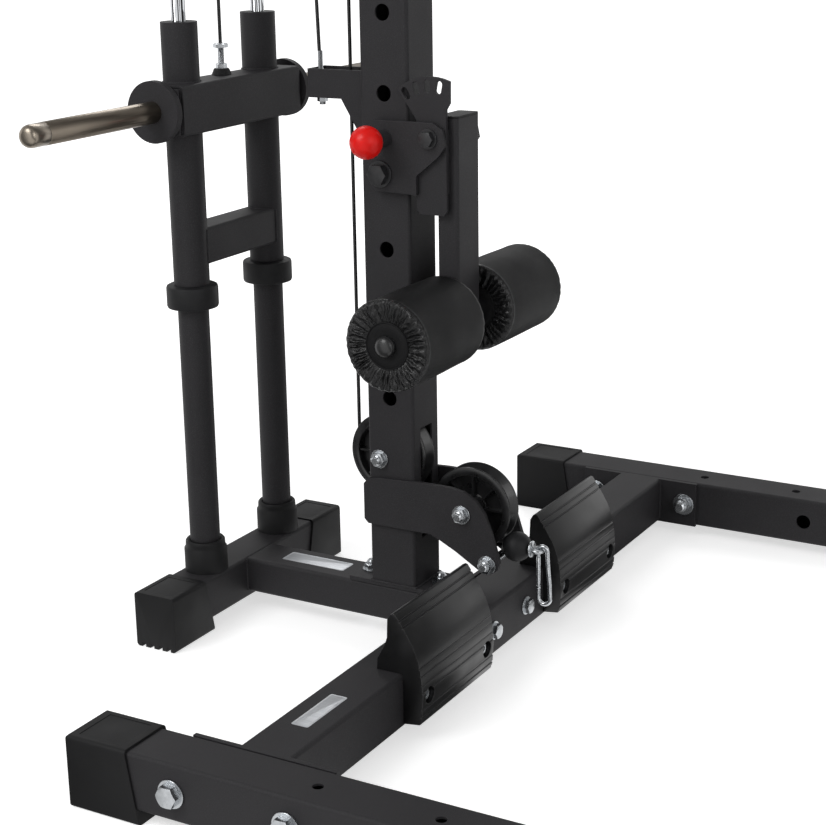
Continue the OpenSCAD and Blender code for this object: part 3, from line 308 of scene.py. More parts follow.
def blackened_steel():
    """Black-oxide bolts: dark, oiled and a little glossy."""
    return clouded("blackened_steel", "#1d1d1f", "#29292b", 8 * MM, 3.0, (0.35, 0.7), (0.36, 0.46))


def galvanised_wire():
    """Galvanised bent wire: pale grey metal with soft ripples from the bath."""
    return clouded("galvanised_wire", "#d2d5d8", "#b9bcc0", 6 * MM, 2.0, (0.35, 0.7), (0.18, 0.32),
                   (6 * MM, 2.0, 0.03 * MM, 0.4), metallic=1.0)


def knob_phenolic():
    """Polished red phenolic ball: even colour under a smooth gloss."""
    return clouded("polished_red_phenolic", rack()[1].knob, "#e2150f", 9 * MM, 3.0, (0.3, 0.75), (0.3, 0.4),
                   specular=0.3)


def leatherette():
    """Vinyl leatherette over foam: pebbled, dull where it lies smooth and shiny on its stretched pleats."""
    material, tree, place = new_material("black_leatherette")
    pebble = add(tree, "ShaderNodeTexVoronoi", {"Vector": place, "Scale": 1 / (1.5 * MM)},
                 feature="DISTANCE_TO_EDGE").outputs["Distance"]
    crease_relief_and_shade = add(tree, RANGE, [pebble, 0.0, 0.12, 0.0, 1.0])
    cloud = add(tree, NOISE, {"Vector": place, "Scale": 1 / (35 * MM), "Detail": 4.0})
    tone = blended(tree, cloud, 0.3, 0.7, rack()[1].cover, "#1a1a1b")
    # Painted shade: the creases of the pebble grain are darkened
    tone = blended(tree, crease_relief_and_shade, 0, 1, "#0d0d0e", tone)
    low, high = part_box("foam_roller_right")
    axle, half = (low + high) / 2, (high.x - low.x) / 2
    along = add(tree, "ShaderNodeSeparateXYZ", [place]).outputs["X"]
    reach = add(tree, MATH, [along], operation="ABSOLUTE")
    reach = add(tree, MATH, [reach, axle.x], operation="SUBTRACT")
    reach = add(tree, MATH, [reach], operation="ABSOLUTE")
    ends = add(tree, RANGE, [reach, half - 9 * MM, half - 5 * MM, 0.0, 1.0])
    away = add(tree, VECTOR, [place, (0, -axle.y, -axle.z)], operation="ADD")
    away = add(tree, VECTOR, [away, (0, 1, 1)], operation="MULTIPLY")
    away = add(tree, VECTOR, [away], operation="LENGTH").outputs["Value"]
    pleats = add(tree, RANGE, [away, ROLLER_DISC, ROLLER_DISC + 2 * MM, 0.0, ends])
    dull = add(tree, RANGE, [cloud, 0.3, 0.7, 0.5, 0.6])
    return surfaced(material, tone, add(tree, RANGE, [pleats, 0.0, 1.0, dull, 0.26]),
                    (crease_relief_and_shade, 0.14 * MM, 0.5),
                    specular=add(tree, RANGE, [pleats, 0.0, 1.0, 0.16, 0.38]))


def blank_label():
    """Silver foil label, printed with nothing: a brushed sheet under a thin clear film."""
    return clouded("blank_foil_label", "#c9cbce", "#b2b5b9", 30 * MM, 3.0, (0.3, 0.7), (0.34, 0.44),
                   stretch=(40, 1, 1), metallic=0.6)


# Each finish by its short name: what makes it, and the slot it is kept in
FINISHES = {
    "coat": (powder_coat, "coated_steel"), "moulded": (moulded_plastic, "cap_plastic"),
    "rest": (rest_plastic, "cap_plastic"), "rubber": (bumper_rubber, "bumper_rubber"),
    "nylon": (pulley_nylon, "pulley_nylon"), "hub": (hub_plastic, "hub_plastic"),
    "jacket": (cable_jacket, "cable_jacket"), "chrome": (chromed_steel, "chrome_rod"),
    "horn": (horn_steel, "bare_steel"), "zinc": (zinc_plate, "zinc_hardware"),
    "black": (blackened_steel, "zinc_hardware"), "wire": (galvanised_wire, "galvanised_wire"),
    "knob": (knob_phenolic, "knob_red"), "cover": (leatherette, "roller_cover"),
    "label": (blank_label, "zinc_hardware")}
MATERIALS = {}


def finish(name):
    """The material of a finish, made once."""
    if name not in MATERIALS:
        MATERIALS[name] = FINISHES[name][0]()
    return MATERIALS[name]


# Mesh helpers

def piece(name, shape, finish_name, body, nodes=(), smooth_angle=35):
    """A finished object from a mesh or a bmesh: shaded, given its material, and carried by a body."""
    mesh = mesh_of(shape, name) if isinstance(shape, bmesh.types.BMesh) else shape
    obj = bpy.data.objects.new(name, mesh)
    bpy.context.scene.collection.objects.link(obj)
    mesh.materials.clear()
    mesh.materials.append(finish(finish_name))
    mesh.shade_smooth()
    mesh.set_sharp_from_angle(angle=math.radians(smooth_angle))
    if body:
        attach(obj, body)
    if nodes:
        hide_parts(*nodes)
    return obj


def mesh_of(bm, name, outward=True):
    """A mesh from a bmesh, with its doubles merged and its faces pointing outwards."""
    bmesh.ops.remove_doubles(bm, verts=bm.verts, dist=MESH_JOIN)
    if outward:
        bmesh.ops.recalc_face_normals(bm, faces=bm.faces)
    mesh = bpy.data.meshes.new(name)
    bm.to_mesh(mesh)
    bm.free()
    return mesh


def opened(mesh):
    """A bmesh of a mesh."""
    bm = bmesh.new()
    bm.from_mesh(mesh)
    return bm


def corners_of(points):
    """Low and high corner of the box round some points."""
    return [Vector([limit(p[i] for p in points) for i in range(3)]) for limit in (min, max)]


def across(axis):
    """Two directions square to an axis."""
    helper = X_AXIS if abs(axis.x) < 0.9 else Y_AXIS
    side = axis.cross(helper).normalized()
    return side, axis.cross(side).normalized()


def bridge(bm, lower, upper):
    """Faces between two rings of points; a ring may be one point."""
    count = max(len(lower), len(upper))
    for k in range(count):
        j = (k + 1) % count
        corners = [lower[k % len(lower)], lower[j % len(lower)], upper[j % len(upper)], upper[k % len(upper)]]
        corners = [v for i, v in enumerate(corners) if v not in corners[:i]]
        if len(corners) > 2:
            bm.faces.new(corners)


def turn(bm, profile, centre, axis, segments=64, shape=None):
    """Turns (radius, distance) points about an axis; a radius of 0 closes the end."""
    side, up = across(axis)
    rings = []
    for radius, along in profile:
        if radius < 1e-7:
            rings.append([bm.verts.new(centre + along * axis)])
            continue
        ring = []
        for k in range(segments):
            angle = 2 * math.pi * k / segments
            r, a = shape(radius, along, angle) if shape else (radius, along)
            ring.append(bm.verts.new(centre + a * axis + r * (math.cos(angle) * side + math.sin(angle) * up)))
        rings.append(ring)
    for lower, upper in zip(rings, rings[1:]):
        bridge(bm, lower, upper)


def stacked(bm, centre, half_x, half_y, corner, steps):
    """Closed skin through level rings with rounded corners; each step is an inset and a height in mm."""
    rings = []
    for inset, height in steps:
        x, y = half_x - corner - inset * MM, half_y - corner - inset * MM
        ring = []
        for cx, cy in ((1, 1), (-1, 1), (-1, -1), (1, -1)):
            for k in range(5):
                a = math.atan2(cy, cx) - math.pi / 4 + math.pi / 8 * k
                ring.append(bm.verts.new(centre + Vector((
                    cx * x + corner * math.cos(a), cy * y + corner * math.sin(a), height * MM))))
        rings.append(ring)
    bm.faces.new(rings[0])
    for lower, upper in zip(rings, rings[1:]):
        bridge(bm, lower, upper)
    bm.faces.new(rings[-1])


def from_edge(radius, start, *points):
    """Profile points given in mm: inwards of a radius, and on from a start."""
    return [(radius - inset * MM, start + along * MM) for inset, along in points]


def in_mm(*points):
    """Profile points given in mm."""
    return [(radius * MM, along * MM) for radius, along in points]


def turned_pair(name, profile, node, segments, finish_name, body):
    """Two mirrored pieces turned about the axle of a node, in place of the node."""
    centre = middle(node)
    centre.x = 0
    bm = bmesh.new()
    for side in (-1, 1):
        turn(bm, profile, centre, side * X_AXIS, segments)
    piece(name, bm, finish_name, body, (node,), 50)


def hoop(bm, ring, thick, sides, centre, axis, segments):
    """A ring of round section."""
    angles = [2 * math.pi * k / sides for k in range(sides + 1)]
    turn(bm, [(ring + thick * math.cos(a), thick * math.sin(a)) for a in angles], centre, axis, segments)


def disc(bm, radius, low, high, edge, start, direction):
    """A plain disc or sleeve with broken edges."""
    turn(bm, [(0, low), (radius - edge, low), (radius, low + edge), (radius, high - edge),
              (radius - edge, high), (0, high)], start, direction, 40)


def hex_prism(bm, centre, axis, across_flats, bottom, top):
    """Hexagon with its upper corners turned down, from bottom to top along an axis."""
    flat = across_flats / 2

    def shape(radius, along, angle):
        if radius < flat:
            return radius, along
        corner = flat / math.cos((angle + math.pi / 6) % (math.pi / 3) - math.pi / 6)
        drop = (corner - 0.97 * flat) * 0.58 if along == top else 0.0
        return corner, along - math.copysign(drop, top - bottom)

    turn(bm, [(0, bottom), (flat, bottom), (flat, top), (0.9 * flat, top), (0, top)], centre, axis, 48, shape)


def cad_copy(node):
    """A bmesh of a CAD node with its vertices joined."""
    bm = opened(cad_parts[node].data)
    bmesh.ops.remove_doubles(bm, verts=bm.verts, dist=CAD_JOIN)
    return bm


def softened(node, name, finish_name, body, width):
    """A copy of a CAD node with joined vertices and rounded edges, in place of the node."""
    bm = cad_copy(node)
    bmesh.ops.dissolve_limit(
        bm, angle_limit=math.radians(1.0), use_dissolve_boundaries=False, verts=bm.verts, edges=bm.edges)
    edges = [e for e in bm.edges if len(e.link_faces) == 2 and e.calc_face_angle() > math.radians(35)]
    bmesh.ops.bevel(
        bm, geom=edges, offset=width, offset_type="OFFSET", segments=3, profile=0.5,
        affect="EDGES", clamp_overlap=True, harden_normals=False)
    bmesh.ops.triangulate(bm, faces=[f for f in bm.faces if len(f.verts) > 4])
    piece(name, mesh_of(bm, name, outward=False), finish_name, body, (node,), 30)


def joined_copy(node, name, finish_name, body):
    """A copy of a CAD node with joined vertices, smooth on its turned faces, in place of the node."""
    mesh = mesh_of(opened(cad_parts[node].data), name, outward=False)
    piece(name, mesh, finish_name, body, (node,), 28)


def solids_of(node):
    """The separate solids of a CAD node, each as a list of its corner points."""
    bm = cad_copy(node)
    left = set(bm.verts)
    found = []
    while left:
        group, waiting = set(), [left.pop()]
        while waiting:
            vert = waiting.pop()
            group.add(vert)
            for edge in vert.link_edges:
                other = edge.other_vert(vert)
                if other in left:
                    left.remove(other)
                    waiting.append(other)
        found.append([v.co.copy() for v in group])
    bm.free()
    return sorted(found, key=lambda points: tuple(round(c, 4) for c in sum(points, Vector()) / len(points)))


def ball_of(node, front):
    """Centre and radius of the ball of a ball stop, which is its widest solid."""
    low, high = max((corners_of(points) for points in solids_of(node)), key=lambda box: box[1].x - box[0].x)
    centre, radius = (low + high) / 2, (high.x - low.x) / 2
    along = 1 if abs(front.y) > 0 else 2
    centre[along] = high[along] - radius
    return centre, radius


# Geometry Nodes that follow a route, or repeat a shape around an axle or along a line

def node_tree(name, inputs):
    """An empty geometry tree with its named inputs between its geometry and its material."""
    tree = bpy.data.node_groups.new(name, "GeometryNodeTree")
    for label, kind, value in [("Geometry", "Geometry", None)] + inputs + [("Material", "Material", None)]:
        item = tree.interface.new_socket(label, in_out="INPUT", socket_type="NodeSocket" + kind)
        if value is not None:
            item.default_value = value
    tree.interface.new_socket("Geometry", in_out="OUTPUT", socket_type="NodeSocketGeometry")
    return tree, add(tree, "NodeGroupInput").outputs


def close_tree(tree, geometry, material):
    """Ends a geometry tree in real geometry with its material."""
    real = add(tree, "GeometryNodeRealizeInstances", [geometry])
    painted = add(tree, "GeometryNodeSetMaterial", {"Geometry": real, "Material": material})
    add(tree, "NodeGroupOutput", [painted])
    return tree


def route_tree():
    """A round tube with closed ends that follows the edges of its mesh."""
    tree, given = node_tree("tube_along_route", [("Radius", "Float", 2.4 * MM), ("Sides", "Int", 16)])
    line = add(tree, "GeometryNodeMeshToCurve", {"Mesh": given["Geometry"]})
    outline = add(tree, "GeometryNodeCurvePrimitiveCircle", {
        "Resolution": given["Sides"], "Radius": given["Radius"]})
    skin = add(tree, "GeometryNodeCurveToMesh", {"Curve": line, "Profile Curve": outline, "Fill Caps": True})
    return close_tree(tree, skin, given["Material"])


def copies_around_tree():
    """Copies of its geometry, turned evenly about an axle along X."""
    tree, given = node_tree("copies_around_axle", [("Count", "Int", 6), ("Axle", "Vector", None)])
    points = add(tree, "GeometryNodePoints", {"Count": given["Count"], "Position": given["Axle"]})
    index = add(tree, "GeometryNodeInputIndex")
    share = add(tree, MATH, [index, given["Count"]], operation="DIVIDE")
    angle = add(tree, MATH, [share, 2 * math.pi], operation="MULTIPLY")
    turned = add(tree, "ShaderNodeCombineXYZ", {"X": angle})
    copies = add(tree, "GeometryNodeInstanceOnPoints", {
        "Points": points, "Instance": given["Geometry"], "Rotation": turned})
    return close_tree(tree, copies, given["Material"])


def beads_tree():
    """Weld bead along the edges of its mesh: overlapping drops with a seeded change of size."""
    tree, given = node_tree("weld_beads", [
        ("Radius", "Float", 3 * MM), ("Pitch", "Float", 3 * MM), ("Seed", "Int", 3)])
    line = add(tree, "GeometryNodeMeshToCurve", {"Mesh": given["Geometry"]})
    points = add(tree, "GeometryNodeCurveToPoints", {"Curve": line, "Length": given["Pitch"]}, mode="LENGTH")
    drop = add(tree, "GeometryNodeMeshUVSphere", {"Segments": 10, "Rings": 6, "Radius": given["Radius"]})
    smooth = add(tree, "GeometryNodeSetShadeSmooth", {"Geometry": drop})
    size = add(tree, "FunctionNodeRandomValue", {2: 0.86, 3: 1.08, "Seed": given["Seed"]}, data_type="FLOAT")
    drops = add(tree, "GeometryNodeInstanceOnPoints", {
        "Points": points, "Instance": smooth, "Rotation": points.outputs["Rotation"],
        "Scale": size.outputs[1]})
    return close_tree(tree, drops, given["Material"])


TREES = {}


def through_tree(name, maker, mesh, settings, finish_name):
    """Runs a mesh through a geometry tree and returns the plain mesh that comes out."""
    if maker not in TREES:
        TREES[maker] = maker()
    tree = TREES[maker]
    obj = bpy.data.objects.new(name + "_source", mesh)
    bpy.context.scene.collection.objects.link(obj)
    modifier = obj.modifiers.new("made", "NODES")
    modifier.node_group = tree
    sockets = {s.name: s.identifier for s in tree.interface.items_tree
               if s.item_type == "SOCKET" and s.in_out == "INPUT"}
    for label, value in {"Material": finish(finish_name), **settings}.items():
        modifier[sockets[label]] = value
    depsgraph = bpy.context.evaluated_depsgraph_get()
    result = bpy.data.meshes.new_from_object(obj.evaluated_get(depsgraph))
    obj.modifiers.remove(modifier)
    bpy.data.objects.remove(obj)
    result.name = name
    return result


def line_mesh(name, routes):
    """A mesh of edges along each list of points."""
    points, edges = [], []
    for route in routes:
        first = len(points)
        points += [tuple(p) for p in route]
        edges += [(first + i, first + i + 1) for i in range(len(route) - 1)]
    mesh = bpy.data.meshes.new(name)
    mesh.from_pydata(points, edges, [])
    return mesh


def tube(name, routes, radius, sides, finish_name, body, nodes=()):
    """A round wire or cable along routes, carried by a body, or left free when body is empty."""
    settings = {"Radius": radius, "Sides": sides}
    mesh = through_tree(name, route_tree, line_mesh(name, routes), settings, finish_name)
    return piece(name, opened(mesh), finish_name, body, nodes, 60)


def arc(centre, radius, start, end, steps=28):
    """Points of an arc in the middle plane; angles in degrees from +Y towards +Z."""
    angles = [math.radians(start + (end - start) * i / steps) for i in range(steps + 1)]
    return [Vector((0, centre.y + radius * math.cos(a), centre.z + radius * math.sin(a))) for a in angles]


# Frame

COATED = (
    "side_beam_left", "side_beam_right", "cross_beam", "rear_base", "centre_post", "end_plates", "stop_tubes",
    "rod_head", "anchor_bracket", "low_pulley_bracket", "leg_bracket", "pull_pin_barrel", "uprights",
    "top_cross_beam", "top_boom", "pull_up_bar", "j_cups", "spotter_arms", "carriage_frame", "block_plates",
    "leg_arm")
HALF_TUBE = 35 * MM


class RACK_OT_coated_steel(bpy.types.Operator):
    """Powder coat on the welded frame, which keeps its CAD shape."""
    bl_idname = "rack.coated_steel"
    bl_label = "Coated steel"

    def execute(self, context):
        for node in COATED:
            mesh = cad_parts[node].data
            mesh.materials.clear()
            mesh.materials.append(finish("coat"))
        return {"FINISHED"}


def corner_routes():
    """Corners where parts are welded together, by body, on lines a little off the steel."""
    off, plate, short = 0.3 * MM, 6 * MM, 5 * MM
    half = HALF_TUBE + off
    cross_low, cross_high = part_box("cross_beam")
    cross_y = (cross_low.y + cross_high.y) / 2
    base_low, base_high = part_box("rear_base")
    upright_low, upright_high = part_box("uprights")
    arm_low, arm_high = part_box("leg_arm")
    car_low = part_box("carriage_frame")[0]
    rod_y = middle("guide_rods").y
    sleeve_r, neck_gap, brace_y = 24.4 * MM, 30 * MM, 23.2 * MM
    box_top, bend = car_low.z + 270 * MM - off, 13 * MM

    def square(x, y, z):
        corners = [(x + cx * half, y + cy * half, z) for cx, cy in ((-1, -1), (1, -1), (1, 1), (-1, 1))]
        return corners + corners[:1]

    def rise(x, y, bottom, top):
        return [(x, y, bottom), (x, y, top)]

    on_frame = [square(0, middle("centre_post").y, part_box("end_plates")[0].z + plate + off)]
    on_carriage = []
    for side in (-1, 1):
        upright_x = side * (upright_high.x - HALF_TUBE)
        on_frame.append(square(upright_x, middle("uprights").y, upright_low.z + off))
        for y in cross_y - half, cross_y + half:
            on_frame.append(rise(side * (cross_high.x - plate - off), y,
                                 cross_low.z + short, cross_high.z - short))
        for y in base_low.y + plate + off, rod_y - neck_gap - off:
            on_frame.append(rise(side * half, y, base_low.z + bend, base_high.z - bend))
        tube_x = side * 90 * MM
        turns = [math.radians(135 + 9 * k) for k in range(31)]
        on_carriage.append([(tube_x + sleeve_r * math.cos(a), rod_y + sleeve_r * math.sin(a), box_top)
                            for a in turns])
        brace_x, brace_low, brace_high = tube_x - side * 8 * MM, car_low.z + 30 * MM, car_low.z + 73 * MM
        for y in rod_y - brace_y, rod_y + brace_y:
            on_carriage.append(rise(brace_x, y, brace_low, brace_high))
    on_arm = rise(-30.5 * MM, arm_low.y + 14 * MM, arm_high.z - 144 * MM, arm_high.z - 68 * MM)
    return {"frame": on_frame, "carriage": on_carriage, "leg_holder": [on_arm]}


class RACK_OT_weld_beads(bpy.types.Operator):
    """Coated weld beads in the corners where tubes and plates meet."""
    bl_idname = "rack.weld_beads"
    bl_label = "Weld beads"

    def execute(self, context):
        sizes = rack()[0]
        settings = {"Radius": sizes.weld_radius, "Pitch": sizes.weld_pitch, "Seed": 7}
        for body, routes in corner_routes().items():
            name = "weld_beads_" + body
            mesh = through_tree(name, beads_tree, line_mesh(name, routes), settings, "coat")
            piece(name, mesh, "coat", body, (), 80)
        return {"FINISHED"}


class RACK_OT_moulded_parts(bpy.types.Operator):
    """Foot caps, footrests and end caps with rounded moulded edges."""
    bl_idname = "rack.moulded_parts"
    bl_label = "Moulded parts"

    def execute(self, context):
        edge = rack()[0].soft_edge
        softened("foot_caps", "foot_cap_shells", "moulded", "frame", edge)
        softened("footrests", "footrest_shells", "rest", "frame", 0.7 * edge)
        softened("leg_arm_caps", "arm_end_caps", "moulded", "leg_holder", 0.5 * edge)
        joined_copy("rod_cups", "rod_cup_shells", "moulded", "frame")
        joined_copy("carriage_bushes", "carriage_bush_rings", "moulded", "carriage")
        low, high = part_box("uprights")
        bm = bmesh.new()
        for side in (-1, 1):
            top = Vector((side * (high.x - HALF_TUBE), (low.y + high.y) / 2, high.z))
            stacked(bm, top, HALF_TUBE, HALF_TUBE, 5 * MM, ((0, 0), (0, 2.5), (5, 4.5)))
        piece("upright_plugs", bm, "moulded", "frame", (), 50)
        return {"FINISHED"}


class RACK_OT_rubber_parts(bpy.types.Operator):
    """Bumper collars on the stop tubes and the ball stops of both cables."""
    bl_idname = "rack.rubber_parts"
    bl_label = "Rubber parts"

    def execute(self, context):
        self.collars()
        self.ball("low_ball_stop", "low_ball", "low_end", -Y_AXIS)
        self.ball("lat_ball_stop", "lat_ball", "frame", -Z_AXIS)
        return {"FINISHED"}

    def collars(self):
        """Solid collars with rolled edges."""
        low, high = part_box("bumper_collars")
        outer, tall, bore = (high.y - low.y) / 2, high.z - low.z, 9.8 * MM
        profile = [(bore, 0), *from_edge(outer, 0, (4, 0), (1, 1), (0, 3.5)),
                   *from_edge(outer, tall, (0, -3.5), (1, -1), (3, 0)), (bore, tall), (bore, 0)]
        bm = bmesh.new()
        for side in (-1, 1):
            turn(bm, profile, Vector((side * (high.x - outer), (low.y + high.y) / 2, low.z)), Z_AXIS, 72)
        piece("bumper_rings", bm, "rubber", "frame", ("bumper_collars",), 40)

    def ball(self, node, name, body, front):
        """Ball with a parting line and a seat at the front, and its eye bolt."""
        centre, radius = ball_of(node, front)
        steps, seat = 40, 7 * MM
        profile = [(0, -radius)]
        for k in range(1, steps + 1):
            angle = math.pi * k / steps
            ridge = 0.25 * MM if k == steps // 2 else 0
            point = ((radius + ridge) * math.sin(angle), -radius * math.cos(angle))
            if point[0] >= seat or point[1] <= 0:
                profile.append(point)
        bore, floor = 6 * MM, radius - 3 * MM
        profile += [(bore, profile[-1][1] - 0.5 * MM), (bore, floor), (0, floor)]
        bm = bmesh.new()
        turn(bm, profile, centre, front, 72)
        piece(name, bm, "rubber", body, (node,), 50)
        bm = bmesh.new()
        stem = from_edge(0, radius, (0, -2.8), (-5.5, -2.8), (-5.5, 0.4), (-10.4, 0.4), (-11, 1),
                         (-11, 2.4), (-10.4, 3), (-4, 3.2), (-2.6, 4.5), (0, 4.5))
        turn(bm, stem, centre, front, 48)
        eye_r, wire, reach = 8 * MM, 2.6 * MM, radius + 10 * MM
        hoop(bm, eye_r, wire, 16, centre + reach * front, Z_AXIS if abs(front.y) > 0 else Y_AXIS, 48)
        piece(name + "_eye", bm, "zinc", body, (), 50)


class RACK_OT_bright_parts(bpy.types.Operator):
    """Chromed guide rods, bare weight horns and the roller axle."""
    bl_idname = "rack.bright_parts"
    bl_label = "Bright parts"

    def execute(self, context):
        joined_copy("guide_rods", "guide_rod_pair", "chrome", "frame")
        joined_copy("roller_axle", "roller_axle_tube", "zinc", "leg_holder")
        radius, end = radius_of("weight_horns"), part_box("weight_horns")[1].x
        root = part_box("carriage_frame")[1].x
        profile = [(0, root), (radius, root),
                   *from_edge(radius, horn_tip_start(), (0, 0), (0.7, 0.7), (0.7, 2.2), (0.2, 2.8)),
                   *from_edge(radius, end, (0.2, -10), (1, -6), (2.6, -3), (6, -0.8), (9, 0)), (0, end)]
        turned_pair("weight_horn_pair", profile, "weight_horns", 80, "horn", "carriage")
        return {"FINISHED"}


# Hardware

def bolt_lines(node):
    """Head end, direction, length and washer radius of each bolt of a node, and its other solids."""
    bolts, others = [], []
    for points in solids_of(node):
        low, high = corners_of(points)
        size = high - low
        axis = max(range(3), key=lambda i: size[i])
        centre = (low + high) / 2
        ends = []
        for value in (low[axis], high[axis]):
            near = [p for p in points if abs(p[axis] - value) < 1e-5]
            reach = [(p - centre).length_squared - (p[axis] - centre[axis]) ** 2 for p in near]
            ends.append(max(reach) ** 0.5)
        if abs(ends[0] - ends[1]) < 1 * MM:
            others.append((low, high, axis))
            continue
        head_low = ends[0] > ends[1]
        start = centre.copy()
        start[axis] = low[axis] if head_low else high[axis]
        direction = (X_AXIS, Y_AXIS, Z_AXIS)[axis] * (1 if head_low else -1)
        bolts.append((start, direction, size[axis], max(size[i] for i in range(3) if i != axis) / 2))
    return bolts, others


def screw(bm, start, direction, length, washer_r):
    """Hexagon bolt with two washers, a lock nut and a threaded tail, head end at start."""
    d = washer_r / 1.07
    head, washer, nut, tail = 0.62 * d, 0.17 * d, 0.8 * d, 0.25 * d
    far, edge, pitch = length - tail - nut, 0.12 * washer, 0.13 * d
    flats = 2 * 0.87 * d * math.cos(math.pi / 6)
    hex_prism(bm, start, direction, flats, head, 0.0)
    disc(bm, washer_r, head, head + washer, edge, start, direction)
    disc(bm, washer_r, far - washer, far, edge, start, direction)
    hex_prism(bm, start, direction, flats, far, far + 0.72 * nut)
    collar = [(0, 0.7), (0.8, 0.7), (0.8, 0.94), (0.7, 1), (0, 1)]
    turn(bm, [(r * flats / 2, far + z * nut) for r, z in collar], start, direction, 40)
    z = far + 0.9 * nut
    threads = [(0, z)]
    while z < length - pitch:
        threads += [(0.5 * d - 0.06 * d, z), (0.5 * d, z + 0.5 * pitch)]
        z += pitch
    threads += [(0.5 * d - 0.08 * d, length - 0.3 * pitch), (0.5 * d - 0.12 * d, length), (0, length)]
    turn(bm, threads, start, direction, 32)
    turn(bm, [(0.5 * d, head), (0.5 * d, far)], start, direction, 24)


class RACK_OT_bolts(bpy.types.Operator):
    """Zinc bolts, washers, lock nuts and spacer sleeves, each on its CAD bolt."""
    bl_idname = "rack.bolts"
    bl_label = "Bolts"

    def execute(self, context):
        holder_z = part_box("leg_bracket")[0].z
        for node, body in (("frame_bolts", "frame"), ("plate_bolts", "frame"), ("bracket_bolts", "frame"),
                           ("pulley_axles", "frame"), ("block_axles", "block")):
            bm, dark = bmesh.new(), bmesh.new()
            bolts, others = bolt_lines(node)
            for start, direction, length, washer_r in bolts:
                blackened = node == "bracket_bolts" and start.z > holder_z
                screw(dark if blackened else bm, start, direction, length, washer_r)
            for low, high, axis in others:
                self.sleeve(bm, low, high, axis)
            piece(node + "_set", bm, "zinc", body, (node,), 32)
            if dark.verts:
                piece("holder_bolt_set", dark, "black", body, (), 32)
            else:
                dark.free()
        self.footrest_screws()
        self.adjuster()
        joined_copy("anchor_ferrule", "anchor_ferrule_set", "zinc", "frame")
        return {"FINISHED"}

    def sleeve(self, bm, low, high, axis):
        """Plain turned sleeve in a box, with broken edges."""
        start = (low + high) / 2
        start[axis] = low[axis]
        length = high[axis] - low[axis]
        radius = min(size for i, size in enumerate(high - low) if i != axis) / 2
        disc(bm, radius, 0, length, min(0.5 * MM, 0.2 * length), start, (X_AXIS, Y_AXIS, Z_AXIS)[axis])

    def footrest_screws(self):
        """Low round heads with a round socket, sunk in the footrests, with nuts behind the beam."""
        head = in_mm((0, 3), (3.4, 3), (3.6, 0.3), (6.2, 0), (7.6, 0.8), (8.4, 2.4), (8.6, 5), (0, 5))
        washer = in_mm((0, 5), (10.3, 5), (10.5, 5.3), (10.5, 7), (0, 7))
        bm = bmesh.new()
        for points in solids_of("footrest_bolts"):
            low, high = corners_of(points)
            length = high.y - low.y
            start = (low + high) / 2
            start.y = low.y
            turn(bm, head, start, Y_AXIS, 48)
            turn(bm, washer, start, Y_AXIS, 48)
            turn(bm, in_mm((5, 7)) + from_edge(0, length, (-5, -0.8), (-4.2, 0), (0, 0)), start, Y_AXIS, 32)
            hex_prism(bm, start, Y_AXIS, 15 * MM, length - 10 * MM, length - 2 * MM)
        piece("footrest_screw_set", bm, "zinc", "frame", ("footrest_bolts",), 32)

    def adjuster(self):
        """Cable adjuster: dark tapered boss, nut, threaded stud and thin top nut."""
        tall = 42 * MM
        base = middle("cable_adjuster")
        base.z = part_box("cable_adjuster")[1].z - tall
        bm = bmesh.new()
        turn(bm, in_mm((0, 0), (13.2, 0), (13.5, 0.4), (10.6, 7.6), (9.6, 8.5), (0, 8.5)), base, Z_AXIS, 56)
        piece("adjuster_boss", bm, "rubber", "carriage", (), 40)
        bm = bmesh.new()
        hex_prism(bm, base, Z_AXIS, 13.6 * MM, 8.5 * MM, 15 * MM)
        stud, z = [(0, 14)], 14.0
        while z < 36:
            stud += [(3.9, z), (4.35, z + 0.6)]
            z += 1.2
        turn(bm, in_mm(*stud, (4, 36.5), (0, 36.5)), base, Z_AXIS, 32)
        hex_prism(bm, base, Z_AXIS, 17.6 * MM, 36 * MM, 41.4 * MM)
        turn(bm, in_mm((0, 41), (4.2, 41), (4.2, 41.6), (3.8, 42), (0, 42)), base, Z_AXIS, 32)
        hex_prism(bm, base, -Z_AXIS, 13.6 * MM, 3 * MM, 11 * MM)
        piece("cable_adjuster_stud", bm, "zinc", "carriage", ("cable_adjuster",), 32)


# Pulleys and cables

PULLEYS = ("post_pulley", "low_pulley", "rear_top_pulley", "mid_top_pulley", "lat_pulley",
           "block_upper_pulley", "block_lower_pulley")
GROOVE = 4.5 * MM
CABLE_SIDES = 16
CABLE_SEAT = 20.3 * MM


